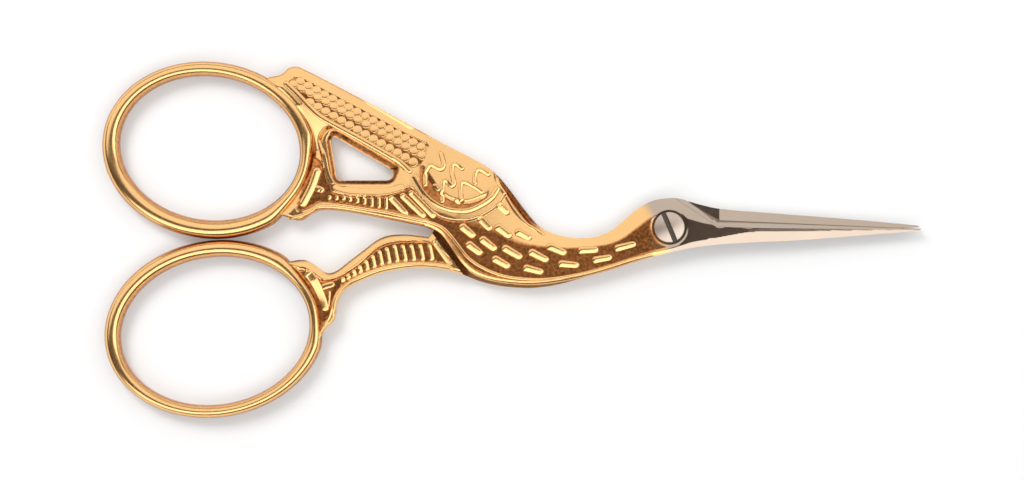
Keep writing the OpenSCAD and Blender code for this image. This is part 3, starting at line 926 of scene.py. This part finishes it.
WINDOW = rounded_triangle(WINDOW_CORNERS, WINDOW_ROUNDS)
SHOULDER_ARC = smooth([
    (-35.9, 7.3), (-35.0, 5.8), (-34.0, 4.4), (-32.7, 3.3), (-31.0, 2.5), (-29.2, 2.25),
    (-27.8, 2.4), (-26.1, 3.2), (-24.8, 4.2), (-23.9, 5.7)], 4)
ARC_BAND, ARC_STEP = 1.25, 0.25     # plain band round it, and the step down from that
HOLLOW_X, HOLLOW_W = (-35.5, -33.0, -29.5, -25.5), (1.5, 1.75, 1.25, 0.6)
WING_RIM = smooth([
    (-53.9, 20.4), (-52.1, 18.7), (-50.3, 16.8), (-48.9, 15.5), (-46.1, 13.9), (-43.3, 12.4),
    (-40.5, 10.8), (-37.7, 9.1), (-36.0, 7.6)], 4)
SHANK_GROUND = smooth([
    (-49.3, 9.7), (-48.6, 9.0), (-47.9, 6.8), (-47.4, 5.6), (-46.9, 4.9), (-43.7, 4.35),
    (-40.3, 4.35), (-39.0, 4.7), (-37.7, 5.1), (-36.2, 5.6), (-35.3, 4.8), (-33.8, 3.0),
    (-32.1, 1.5), (-31.2, 0.6), (-32.5, 0.5), (-34.3, 1.15), (-37.0, 1.75), (-39.7, 2.35),
    (-42.3, 2.75), (-45.0, 3.15), (-47.6, 3.45), (-49.0, 3.4), (-50.3, 2.6), (-51.9, 2.2),
    (-52.2, 3.0), (-51.5, 5.2), (-50.9, 7.9), (-49.9, 9.8), (-49.3, 9.7)], 3)
SHANK_RIM = smooth([
    (-53.3, 1.25), (-51.7, 1.6), (-50.4, 2.1), (-49.0, 3.05), (-47.7, 3.2), (-45.0, 2.9), (-42.3, 2.5),
    (-39.7, 2.1), (-37.0, 1.5), (-34.8, 1.0), (-33.2, 0.6), (-31.8, 0.0), (-30.6, -1.15), (-29.4, -2.7),
    (-28.2, -4.2), (-26.5, -5.45), (-24.2, -6.5), (-21.9, -7.05), (-18.4, -7.3), (-15.3, -7.05),
    (-11.7, -6.4), (-8.4, -5.5), (-5.3, -4.5), (-2.4, -3.75)], 4)
BACK_LINE = smooth(STORK_BACK)
BELLY_LINE = smooth(STORK_FRONT[6:])
UNDER_LINE = smooth(SHANK_UNDER)
WING_GROUND = smooth([
    (-53.4, 20.4), (-52.5, 19.4), (-50.2, 17.1), (-48.7, 15.85), (-46.0, 14.2), (-43.2, 12.65),
    (-40.4, 11.05), (-37.7, 9.4), (-36.3, 8.4), (-35.0, 8.6), (-33.8, 10.2), (-33.5, 11.3),
    (-35.4, 12.4), (-40.4, 15.1), (-47.4, 18.8), (-51.4, 20.9), (-52.6, 21.0), (-53.4, 20.4)], 3)
ROW_START, ROW_END = arr((-51.4, 20.75)), arr((-33.5, 11.25))
ROW_ALONG = unit(ROW_END - ROW_START)
ROW_DOWN = arr((ROW_ALONG[1], -ROW_ALONG[0]))
ROW_SPREAD = (0.97, 0.33, 20.3)     # at the tail end, its growth, and over what length
PIT_ROWS = (-0.1, 1.92, 2.95)
PIT_DEEP = 0.26
PIT_STEP = (0, 0.15)
PIT_HALF = (0.15, 0.28)     # a row of pits is dark up to the first and fades up to the second
PIT_DARK = (0.1, 0.25)      # depths over which they turn dark
PIT_SHADOW = (1.9, 1.2)       # painted shadow in a pit, and how much less it is between two
WING_FALL = math.tan(math.radians(6))
WING_END = (-36.5, -34)
WEB_DIP = (-48.9, 10.9)     # the web between ring and window dips along a crease through here
WEB_WAY = arr((0.5, -0.866))
WEB_REACH = 6.8
WEB_END = -45
WEB_STEEP = -2.7            # how much steeper it is past the crease
WEB_SLOPE = 0.13
WEB_RIM = (0.08, 14, 2.6)   # its fall away from the ring: rate, scale of the ring's shares, limit
WEB_SIDE = (-2.0, 0.5)      # that fall is on the ring's side of the crease
WEB_START = (0, 0.35)       # distances from the wing's rim over which the web sets in
WEB_CLEAR = (1.1, 1.8)      # and from the window
SILL_SLOPE = 0.12
SILL_FROM, SILL_LONG = 4.9, 3.2
SILL_STEP = (0, 0.3)
SILL_START, SILL_END = (-46, -44.5), (-37.2, -36.2)
CHAMFER = 0.6
CHAMFER_W = (0.95, 0.35)    # width below the window, and how much narrower it is by the wing
CHAMFER_CHANGE = (-0.4, 0.4)
# painted shade on the window's chamfer
CHAMFER_SHADE = 1.8
CHAMFER_FADE = 0.15         # it turns bright over this width
CHAMFER_STEP = (0, 0.2)
UNDER_ROUND = (0.35, 0.4, 1.6)
TAIL_BAR_FADE = (0.92, 1.0)
GROUND_SOFT = (0.1, 0.9)    # shares of a ground's depth over which it turns dull and gets painted shade
OUTER_SHADE = (0.6, (0.08, 0.2))     # painted shade along the outline, and where it ends


def row_spread(run):
    """The rows of the wing's scales draw apart a little towards the shoulder."""
    at_tail, growth, length = ROW_SPREAD
    return at_tail + growth * run / length


def row_offset(p):
    """How far each point lies below the first row of scales, in the measure of the tail end."""
    return beside(p, ROW_START, ROW_END) / row_spread((p - ROW_START) @ ROW_ALONG)


def web_fall(p, rise, side, to_window):
    """Depth of the web between the ring and the window, which falls to a crease in its middle."""
    from_dip = (p - arr(WEB_DIP)) @ WEB_WAY
    way = np.where(from_dip < 0, from_dip, WEB_STEEP * from_dip)
    rate, scale, limit = WEB_RIM
    from_ring = in_oval(p, *UPPER_RIM)[1] - 1
    web = WEB_SLOPE * np.clip(WEB_REACH + way, 0, None)
    web += rate * np.clip(from_ring * scale, 0, limit) * ramp(-from_dip, *WEB_SIDE)
    on_web = (side < 0) & (p[:, 0] < WEB_END)
    return web * np.where(on_web, ramp(rise, *WEB_START), 0) * ramp(to_window, *WEB_CLEAR)


def shank_shape(p):
    """Depth of tail, wing, window frame and shank under the outer face, and how dull they are, with
    painted shade.
    """
    x, y = p.T
    ground = ramp(depth_in(p, SHANK_GROUND), *GROUND_STEP)
    edge = distance(p, UNDER_LINE)[0]
    to_window = -depth_in(p, WINDOW)
    from_wing = beside(p, WINDOW_CORNERS[0], WINDOW_CORNERS[1])
    frame_w = CHAMFER_W[0] - CHAMFER_W[1] * ramp(from_wing, *CHAMFER_CHANGE)
    rise, side = distance(p, WING_RIM)
    wing = WING_FALL * rise * (side > 0) * until(x, WING_END)
    pits = PIT_DEEP * ramp(depth_in(p, WING_GROUND), *PIT_STEP)
    to_pits = np.min([np.abs(row_offset(p) - row) for row in PIT_ROWS], axis=0)
    sill = SILL_SLOPE * np.clip(y - SILL_FROM, 0, SILL_LONG) * (side < 0) * ramp(rise, *SILL_STEP)
    sill *= ramp(x, *SILL_START) * until(x, SILL_END)
    low = np.maximum.reduce([
        GROUND * ground, falling(edge, *UNDER_ROUND), falling(to_window, CHAMFER * frame_w, frame_w),
        UNDER_BAR * until(in_oval(p, *UPPER_RIM)[1], TAIL_BAR_FADE)])
    frame_end = (frame_w - CHAMFER_FADE, frame_w)
    dull_and_shade = np.maximum.reduce([
        ramp(ground, *GROUND_SOFT),
        # Painted shadow in the wing's pits.
        (PIT_SHADOW[0] - PIT_SHADOW[1] * ramp(to_pits, *PIT_HALF)) * ramp(pits, *PIT_DARK),
        # Painted shade on the window's chamfer.
        CHAMFER_SHADE * until(to_window, frame_end) * ramp(to_window, *CHAMFER_STEP),
        OUTER_SHADE[0] * until(np.minimum(edge, distance(p, BACK_LINE)[0]), OUTER_SHADE[1])])
    return low + web_fall(p, rise, side, to_window) + wing + pits + sill, dull_and_shade, ground


SHOULDER_START = (-34.6, -33.4)     # the handle's relief changes to the body's
SHOULDER_BOX = (-36, -23, 2.2)      # start, end and lowest y of what the shoulder's arc holds
# towards the beak the dullness and painted shade fade out
BEAK_BRIGHT, BEAK_CLEAN = (-4, 2), 0.9
PLAIN_CORNER = (-30, 4.5)           # above and left of it the body has no stamped ground
HOLLOW_DEEP = 0.24                  # the shoulder is hollow along the inside of its arc
HOLLOW_START, HOLLOW_END = (-35.2, -34), (-26.5, -24.8)
HOLLOW_DARK_END = (-32.5, -31)
HOLLOW_STEP = (0.12, 0.3)           # distances from the arc over which it sets in
HOLLOW_FADE = (-0.15, 0.5)          # and how far inside and beyond its width it runs out
# Painted shade in the shoulder's hollow, darkest towards the tail.
HOLLOW_SHADE, HOLLOW_DARK = 0.9, (0, 0.3)
INNER_LIMIT = 0.5                   # deepest hollow of the blade's inner face


def stork_shape(p):
    """Depth of the whole stork half under its outer face, and how dull the plating is, with painted
    shade.
    """
    x, y = p.T
    handle, handle_dull_and_shade, shank_ground = shank_shape(p)
    e = distance(p, BELLY_LINE)[0]
    to_arc, side = distance(p, SHOULDER_ARC)
    start, end, lowest = SHOULDER_BOX
    in_arc = (side > 0) & (y > lowest) & (x > start) & (x < end)
    outside = np.where(in_arc, 0, ramp(to_arc, ARC_BAND, ARC_BAND + ARC_STEP))
    body = ramp(x, *SHOULDER_START)
    fall, share, wall = back_slope(p, BACK_LINE)
    plain = (x < PLAIN_CORNER[0]) & (y > PLAIN_CORNER[1])
    neck = ramp(e, RIM_W, RIM_W + RIM_STEP) * outside * body * ~plain
    reach = np.interp(x, HOLLOW_X, HOLLOW_W)
    hollow = in_arc * ramp(to_arc, *HOLLOW_STEP) * until(to_arc, [reach + f for f in HOLLOW_FADE])
    hollow *= ramp(x, *HOLLOW_START) * until(x, HOLLOW_END)
    sunk = np.maximum(neck, shank_ground) * GROUND * until(x, GROUND_END)
    depth = np.maximum.reduce([sunk, rim_bevel(x, e) * body, handle * (1 - body), HOLLOW_DEEP * hollow])
    hollow_shade = ramp(hollow, *HOLLOW_DARK) * until(x, HOLLOW_DARK_END)
    hollow_shade = np.maximum(HOLLOW_SHADE * hollow, hollow_shade)
    dull_and_shade = np.maximum.reduce([
        neck * until(share, SLOPE_CLEAN) * until(x, DULL_AND_SHADE_END), shank_ground, wall,
        handle_dull_and_shade * (1 - body), hollow_shade, OUTER_SHADE[0] * until(e, OUTER_SHADE[1])])
    return depth + fall + FACE * until(x, FACE_END), dull_and_shade * (1 - BEAK_CLEAN * ramp(x, *BEAK_BRIGHT))


def stork_heights(p):
    """Heights of the stork half's two faces, and their patinas with painted shade."""
    x, y = p.T
    depth, dull_and_shade = stork_shape(p)
    r = np.hypot(x, y)
    lip = LIP_FALL * np.clip((RECESS_R + LIP_W - r) / LIP_W, 0, 1)
    top = np.minimum(THICK - depth, blade_face(p)) - lip
    sunk = r < RECESS_R - STEP_RUN / 2
    top = np.where(sunk, np.minimum(top, FRONT_Z + WEB_THICK), top)
    lapped = beside(p, *BACK_LAP) > 0
    under = np.where(lapped, FRONT_Z + np.minimum(inner_hollow(x, -y), INNER_LIMIT), depth)
    # The screw's recess is darkened all over with painted shade.
    return top, under, (np.maximum(dull_and_shade, sunk), dull_and_shade)


stork_line = np.vstack([smooth(STORK_BACK), smooth(STORK_FRONT), smooth(SHANK_UNDER)])
stork_outline = closed_on_ring(stork_line, bar_middle(UPPER_HOLE, UPPER_RIM))
recess = [ring_of(RECESS_R - STEP_RUN, 120), ring_of(RECESS_R, 120), ring_of(RECESS_R + LIP_W, 96)]
stork_body = plate("stork_half_body", stork_outline, [WINDOW, ring_of(BORE_R, 64)],
                   step_guides(BACK_LAP) + [np.vstack([r, r[:1]]) for r in recess]
                   + step_guides([(HEEL, -2.6), (HEEL, -1.9)]) + BLADE_LINES,
                   stork_heights, PLATE_METAL)
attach(stork_body, "stork_side")
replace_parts(stork_body, "stork_half")

# Wing scales: small overlapping domes in staggered rows, stamped on the wing between its rim and
# the plain band along the bird's back. Pits with painted shadow are left where three of them meet.
SCALE_PITCH = 1.28
SCALE_ROWS = ((0.42, 0.62), (1.2, 0.57), (2.33, 0.63), (3.4, 0.56))      # offset of a row, half width
SCALE_HALF = (0.7, 0.11)    # half length and half height
SCALE_LIFT = 0.05
SCALE_FLATNESS = 0.55
SCALE_LEAN = math.radians(-8)
SCALE_NUMBERS = range(-3, 19)
SCALE_INSET = 0.08          # least distance of a scale's middle from the edge of the wing's ground
LAP_CLEAR = 0.9             # and from the lap at the back


def scale_tree():
    tree, given, put = new_group(
        "Wing scales", "GeometryNodeTree",
        {"Places": GEOMETRY, "Half size": (0.0006, 0.0006, 0.0002), "Lean": 0.1, "Row turn": 0.0,
         "Sides": 20, "Rings": 10, "Metal": MATERIAL}, {"Scales": GEOMETRY})
    dome = geo(tree, "MeshUVSphere",
               {"Segments": given["Sides"], "Rings": given["Rings"], "Radius": 1.0})
    place = on_place(tree)
    rise = squared(tree, place["Z"], SCALE_FLATNESS)
    at = shade(tree, "CombineXYZ", {"X": place["X"], "Y": place["Y"], "Z": rise})
    flat = geo(tree, "SetPosition", {"Geometry": dome, "Position": at})
    shaped = geo(tree, "Transform", {"Geometry": flat, "Scale": given["Half size"]})
    lean = shade(tree, "CombineXYZ", {"X": given["Lean"], "Z": given["Row turn"]})
    angle = node(tree, "FunctionNodeEulerToRotation", {0: lean}).outputs[0]
    size = geo(tree, "InputNamedAttribute", {"Name": "size"}, data_type="FLOAT_VECTOR")
    laid = geo(tree, "InstanceOnPoints",
               {"Points": given["Places"], "Instance": shaped, "Rotation": angle, "Scale": size})
    return coated(tree, laid, given, put)


SCALES = scale_tree()


def wing_scales(name, back=False):
    places, across = [], []
    for row, (offset, half) in enumerate(SCALE_ROWS):
        for k in SCALE_NUMBERS:
            run = SCALE_PITCH * (k + 0.5 * (row % 2))
            spread = row_spread(run)
            places.append(ROW_START + ROW_ALONG * run + ROW_DOWN * offset * spread)
            across.append(half * (0.5 + 0.5 * spread))
    places, across = arr(places), arr(across)
    kept = depth_in(places, WING_GROUND) > SCALE_INSET
    if back:
        kept &= beside(places, *BACK_LAP) < -LAP_CLEAR
    places, across = places[kept], across[kept]
    top, under, _ = stork_heights(places)
    long, tall = SCALE_HALF
    z = np.maximum(under - SCALE_LIFT, tall) if back else np.minimum(top + SCALE_LIFT, THICK - tall)
    size = np.column_stack([np.ones(len(places)), across / long, np.ones(len(places))])
    mesh = new_mesh(name, np.column_stack([places, z]), [], [], size=size)
    values = {"Half size": [long * MM, long * MM, tall * MM], "Lean": SCALE_LEAN * (-1 if back else 1),
              "Row turn": math.atan2(ROW_ALONG[1], ROW_ALONG[0]), "Metal": PLATE_METAL}
    return finished(name, placed(name, mesh), SCALES, values, "stork_side")


wing_scales("wing_scales")
wing_scales("wing_scales_back", back=True)

# Ornament of the stork half, stamped with it: the short feather strokes of the breast, the collar
# under the shoulder's raised lines, ribs, bars and a cross on the shank, and rims along the edges.
# Each is on the front and on the back. Only the bead along the ridge of the back is on the front.
STROKE_TOPS = arr([
    (-26.7, 1.5), (-24.1, 3.4), (-29.3, 0.4), (-24.4, 0.3), (-28.4, -2.1), (-26.5, -1.4),
    (-21.6, -0.5), (-23.4, -2.7), (-24.8, -4.2), (-19.7, -3.3), (-20.5, -5.6), (-17.2, -2.5),
    (-15.6, -5.1), (-12.8, -3.3), (-10.8, -4.7), (-7.7, -3.1)])
STROKE_FEET = arr([
    (-24.8, -0.5), (-22.4, 1.7), (-27.1, -1.5), (-22.0, -1.5), (-26.1, -3.9), (-24.1, -3.3),
    (-19.2, -1.7), (-20.5, -4.4), (-22.2, -5.7), (-16.8, -4.8), (-17.5, -6.4), (-14.3, -3.8),
    (-12.5, -5.4), (-9.8, -3.2), (-7.9, -4.2), (-4.6, -2.3)])
FEATHERS = [
    [(-34.1, 5.6), (-34.1, 7.3), (-33.4, 8.6), (-31.7, 8.2), (-32.0, 10.7)],
    [(-31.7, 3.3), (-31.7, 5.8), (-31.3, 6.5), (-30.2, 5.8), (-30.4, 7.7), (-30.1, 8.8), (-28.7, 8.0)],
    [(-28.9, 3.3), (-29.2, 5.1), (-28.9, 6.2), (-27.2, 5.6), (-25.9, 4.7)],
    [(-27.1, 5.8), (-27.2, 7.2), (-26.6, 8.0), (-25.0, 7.2)],
    [(-33.0, 6.1), (-32.5, 5.4), (-32.0, 5.2)],
    [(-30.0, 4.0), (-29.4, 3.4), (-28.9, 3.8)]]
BACK_RIDGE = [
    (-24.2, 7.0), (-23.9, 6.0), (-23.0, 4.6), (-21.7, 2.4), (-20.2, 0.6), (-19.0, -0.2), (-17.5, -1.1)]
WINDOW_LEFT = [(-49.0, 12.4), (-48.2, 9.9), (-47.7, 7.6), (-46.9, 6.0)]
WINDOW_FOOT = [(-47.0, 5.7), (-45.4, 5.2), (-43.7, 5.0), (-39.6, 5.0), (-37.0, 5.7)]
SHANK_CROSS = [(-51.4, 2.8), (-49.95, 5.6), (-49.0, 8.4)]
SHANK_BUD = [(-49.6, 5.6), (-48.2, 5.0)]
SHANK_RIBS = [      # x, foot and top of each
    (-47.5, 4.5, 3.8), (-46.5, 4.5, 3.7), (-45.5, 4.5, 3.6), (-44.6, 4.5, 3.5), (-43.6, 4.5, 3.3),
    (-42.6, 4.5, 3.1), (-41.6, 4.3, 2.8), (-40.6, 4.3, 2.6), (-39.6, 4.3, 2.4)]
SHANK_BARS = [[(-39.2, 4.4), (-36.6, 1.6)], [(-37.6, 4.7), (-34.1, 1.3)], [(-36.4, 5.1), (-32.7, 1.3)]]
STORK_CLEAR = 0.4           # least distance of the back's raised work from the lap, on either half
LEG_CLEAR = LAP_GAP + 0.45
SLOPE_LIMIT = 0.9           # depth of the back slope beyond which the leg half is thin
LEAST_POINTS = 5            # shorter pieces of a path are left out


def on_side(line, body):
    """Stretch of a path at the back that lies on one body, clear of the lap between the two, and
    clear of the back slope where the leg half is thin."""
    p = dense(line, BEAD_STEP)
    away = beside(p, *BACK_LAP)
    on_leg = (away > LEG_CLEAR) & (leg_heights(p)[1] < SLOPE_LIMIT)
    kept = p[on_leg] if body == "leg_side" else p[away < -STORK_CLEAR]
    return kept if len(kept) >= LEAST_POINTS else None


def ornament(name, lines, **form):
    """The same beads on the stork half's front, and on the back of whichever half shows there."""
    raised_work(name, [bead(*line) for line in lines], stork_heights, "stork_side", **form)
    for body, heights in (("stork_side", stork_heights), ("leg_side", leg_heights)):
        cut = [(on_side(line[0], body), *line[1:]) for line in lines]
        beads = [bead(*line) for line in cut if line[0] is not None]
        if beads:
            raised_work(name + "_back_of_" + body, beads, heights, body, back=True, **form)


ornament("breast_feathers", [([a, b], 1.25, 1.05, 0.45) for a, b in zip(STROKE_TOPS, STROKE_FEET)],
         rise=0.48, square=0.75, lean=6, fall=0.2, lift=0.08)
ornament("collar", [(SHOULDER_ARC, 0.5, 1.0)], rise=0.48, square=0.7, lean=9)
raised_work("back_ridge", [bead(smooth(BACK_RIDGE), 0.55)], stork_heights, "stork_side",
            rise=0.6, square=0.9, lean=5)
ornament("shoulder_feathers", [(smooth(f), 0.74) for f in FEATHERS],
         rise=0.45, square=0.8, lean=16, lift=0.1)
ornament("shank_ribs", [([(x, b), (x, a)], 0.6, 0.55, 0.3) for x, a, b in SHANK_RIBS],
         rise=0.45, square=0.75, lean=8, fall=-0.12, lift=0.1)
ornament("shank_bars", [(b, 0.98) for b in SHANK_BARS],
         rise=0.42, square=0.8, lean=9, fall=0.26, lift=0.18)
ornament("shank_cross", [(smooth(SHANK_CROSS), 1.35), (SHANK_BUD, 1.0)],
         rise=0.42, square=0.8, lean=12, fall=-0.12, lift=0.1)
ornament("window_sill", [(smooth(WINDOW_FOOT), 1.1)], rise=0.3, square=0.6, lean=-11)
ornament("stork_rims", [(SHANK_RIM, 0.5, 0.42), (WING_RIM, 0.8), (smooth(WINDOW_LEFT), 0.6)], rise=0.5)

# Pivot screw: turned steel with a low domed head and a slot cut across it. Its shoulder runs in the
# stork half, and its threaded end is screwed into the leg half.
THREAD_R = 1.1
THREAD_END = 0.1
THREAD_CHAMFER = 0.2
SHOULDER_R = 1.4
HEAD_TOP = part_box("pivot_screw")[1].z / MM
DOME = 0.3
EDGE_ROUND = 0.12
FOOT_ROUND = 0.06
SLOT_W = 0.7
SLOT_DEPTH = 0.55
SLOT_TURN = math.radians(113)
SLOT_REACH = 3
SLOT_SHADE_END = 0.28       # depth at which the painted shade in the slot ends
HEAD_FOOT = FRONT_Z + WEB_THICK + SLIDE_GAP
SCREW_STEEL = (0.60, 0.50, 0.42, 1)
SCREW_ROUGH = (0.28, 0.40)
# Painted shade in the screw's slot, and on the side of its head below the rim.
SLOT_SHADE_SPAN = (HEAD_TOP - SLOT_DEPTH, HEAD_TOP - SLOT_SHADE_END)
STEEL_METAL = metal("bright_steel", SCREW_STEEL, SCREW_ROUGH, SLOT_SHADE_SPAN)
SCREW_CREASE, SLOT_CREASE = 40, 35


def screw_section():
    """Radius and height of the screw's outline, from the middle of its head to its end."""
    dome_r = (SCREW_R**2 + DOME**2) / (2 * DOME)
    radii = np.linspace(0, SCREW_R - EDGE_ROUND, 24)
    dome = [(r, HEAD_TOP - dome_r + math.sqrt(dome_r**2 - r * r)) for r in radii]
    rim = dome[-1][1]
    side = [(SCREW_R - EDGE_ROUND * (1 - math.sin(a)), rim - EDGE_ROUND * (1 - math.cos(a)))
            for a in np.linspace(0.2, math.pi / 2, 5)]
    return dome + side + [
        (SCREW_R, HEAD_FOOT + FOOT_ROUND), (SCREW_R - FOOT_ROUND, HEAD_FOOT), (SHOULDER_R, HEAD_FOOT),
        (SHOULDER_R, HALF), (THREAD_R, HALF), (THREAD_R, THREAD_END + THREAD_CHAMFER),
        (THREAD_R - THREAD_CHAMFER, THREAD_END), (0, THREAD_END)]


def turned(name, section, steps=96):
    """Solid of revolution about the pivot axis."""
    verts, faces, rings = [], [], []
    for r, z in section:
        if r == 0:
            rings.append([len(verts)])
            verts.append((0, 0, z))
        else:
            rings.append(list(range(len(verts), len(verts) + steps)))
            angles = np.arange(steps) * 2 * math.pi / steps
            verts += [(r * math.cos(a), r * math.sin(a), z) for a in angles]
    for a, b in zip(rings[:-1], rings[1:]):
        for k in range(steps):
            n = (k + 1) % steps
            face = [a[k % len(a)], a[n % len(a)], b[n % len(b)], b[k % len(b)]]
            faces.append(list(dict.fromkeys(face))[::-1])
    return mesh_object(name, verts, faces, STEEL_METAL, SCREW_CREASE)


def slot_cutter():
    """Box that takes the slot out of the screw's head."""
    way = arr([math.cos(SLOT_TURN), math.sin(SLOT_TURN)])
    long = way * SLOT_REACH
    wide = arr([-way[1], way[0]]) * SLOT_W / 2
    corners = [long + wide, -long + wide, -long - wide, long - wide]
    verts = [(*c, z) for z in (HEAD_TOP - SLOT_DEPTH, HEAD_TOP + 1) for c in corners]
    faces = [(3, 2, 1, 0), (4, 5, 6, 7)] + [(k, (k + 1) % 4, (k + 1) % 4 + 4, k + 4) for k in range(4)]
    return mesh_object("slot_cutter", verts, faces, STEEL_METAL)


screw = turned("pivot_screw_detail", screw_section())
cutter = slot_cutter()
cut = screw.modifiers.new("slot", "BOOLEAN")
cut.operation = "DIFFERENCE"
cut.solver = "EXACT"
cut.object = cutter
cut_mesh = evaluated(screw)
screw.modifiers.remove(cut)
screw.data = cut_mesh
bpy.data.objects.remove(cutter)
cut_mesh.set_sharp_from_angle(angle=math.radians(SLOT_CREASE))
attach(screw, "leg_side")
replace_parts(screw, "pivot_screw")

# Table: a plain white sheet that keeps the soft shadow. It looks white to the camera and in the
# metal's reflections, also far off where the lamps don't reach, and the world beyond it does too.
TABLE = 3.0                 # half its size in metres
TABLE_GREY = (0.6, 0.6, 0.6, 1)
TABLE_GLOW = (0.19, 1.0)    # under the pair, and far off
GLOW_SPAN = (0.2, 0.9)      # distances in metres over which the one changes to the other
WHITE = (1, 1, 1, 1)


def white_rays(tree):
    """1 for a ray from the camera, a mirror or glass, otherwise 0."""
    path = node(tree, "ShaderNodeLightPath").outputs
    seen = calc(tree, "MAXIMUM", path["Is Camera Ray"], path["Is Glossy Ray"])
    return calc(tree, "MAXIMUM", seen, path["Is Transmission Ray"])


table_paint = bpy.data.materials.new("table_white")
table_paint.use_nodes = True
tree = table_paint.node_tree
shader = tree.nodes["Principled BSDF"]
shader.inputs["Base Color"].default_value = TABLE_GREY
shader.inputs["Roughness"].default_value = 0.9
shader.inputs["Emission Color"].default_value = WHITE
shader.inputs["Specular IOR Level"].default_value = 0.0
away = node(tree, "ShaderNodeVectorMath", {0: on_object(tree)}, operation="LENGTH")
white = remap(tree, away.outputs["Value"], *GLOW_SPAN, *TABLE_GLOW, kind="SMOOTHSTEP")
tree.links.new(times(tree, white_rays(tree), white), shader.inputs["Emission Strength"])
edge = TABLE / MM
table = mesh_object("table", [(-edge, -edge, 0), (edge, -edge, 0), (edge, edge, 0), (-edge, edge, 0)],
                    [(0, 1, 2, 3)], table_paint)

# Room: white all round at the height of the table, and dim overhead.
CEILING = (0.09, 0.066, 0.052, 1)
SOFT_GREY = (0.14, 0.14, 0.14, 1)
BACKDROP = (0.15, 0.3)      # height, as a share of the sky, over which the white gives way
world = bpy.data.worlds.new("studio")
bpy.context.scene.world = world
world.use_nodes = True
tree = world.node_tree
way = parts(tree, node(tree, "ShaderNodeTexCoord").outputs["Generated"])
low = remap(tree, way["Z"], *BACKDROP, 1.0, 0.0, kind="SMOOTHSTEP")
seen = white_rays(tree)
dim = blended(tree, seen, SOFT_GREY, CEILING)
tone = blended(tree, times(tree, low, seen), dim, WHITE)
tree.links.new(tone, tree.nodes["Background"].inputs["Color"])

# Studio light: two large soft panels with a dark gap between them right overhead. The brighter one
# stands on the side of the blades and the breast, the wider one on the side of the bird's back.
PAIR_MIDDLE = Vector((-0.022, 0, 0))


def panel(name, compass, near, far, breadth, radiance):
    """Panel 1 m from the pair, from near to far degrees off the zenith and breadth degrees wide."""
    lamp = bpy.data.lights.new(name, "AREA")
    lamp.shape = "RECTANGLE"
    half = math.radians(far - near) / 2
    lamp.size = 2 * math.tan(math.radians(breadth) / 2)
    lamp.size_y = 2 * math.tan(half)
    lamp.energy = math.pi * lamp.size * lamp.size_y * radiance
    off, turn = math.radians(near) + half, math.radians(compass)
    way = Vector((math.sin(off) * math.cos(turn), math.sin(off) * math.sin(turn), math.cos(off)))
    obj = bpy.data.objects.new(name, lamp)
    obj.location = way + PAIR_MIDDLE
    obj.rotation_euler = (-way).to_track_quat("-Z", "Y").to_euler()
    obj.visible_camera = False
    bpy.context.scene.collection.objects.link(obj)
    return obj


panel("breast_panel", compass=-62, near=7.4, far=44, breadth=118, radiance=1.8)
panel("back_panel", compass=102, near=8, far=66, breadth=108, radiance=1.0)
# A small lamp gives the table its shadow. It is left out of the metal's reflections.
panel("shadow_lamp", compass=128, near=28, far=50, breadth=22, radiance=12).visible_glossy = False

# Camera: straight above, as the photograph was taken.
VIEW_MIDDLE = (-0.0220, -0.00178)
VIEW_WIDTH = 0.14336
VIEW_HEIGHT = 2.4 * MM      # the width is measured at this height
LENS = 100
SENSOR = 36
camera_data = bpy.data.cameras.new("camera")
camera_data.lens = LENS
camera_data.sensor_width = SENSOR
camera = bpy.data.objects.new("camera", camera_data)
camera.location = (*VIEW_MIDDLE, VIEW_WIDTH * LENS / SENSOR + VIEW_HEIGHT)
bpy.context.scene.collection.objects.link(camera)
bpy.context.scene.camera = camera
bpy.context.scene.view_settings.view_transform = "Standard"
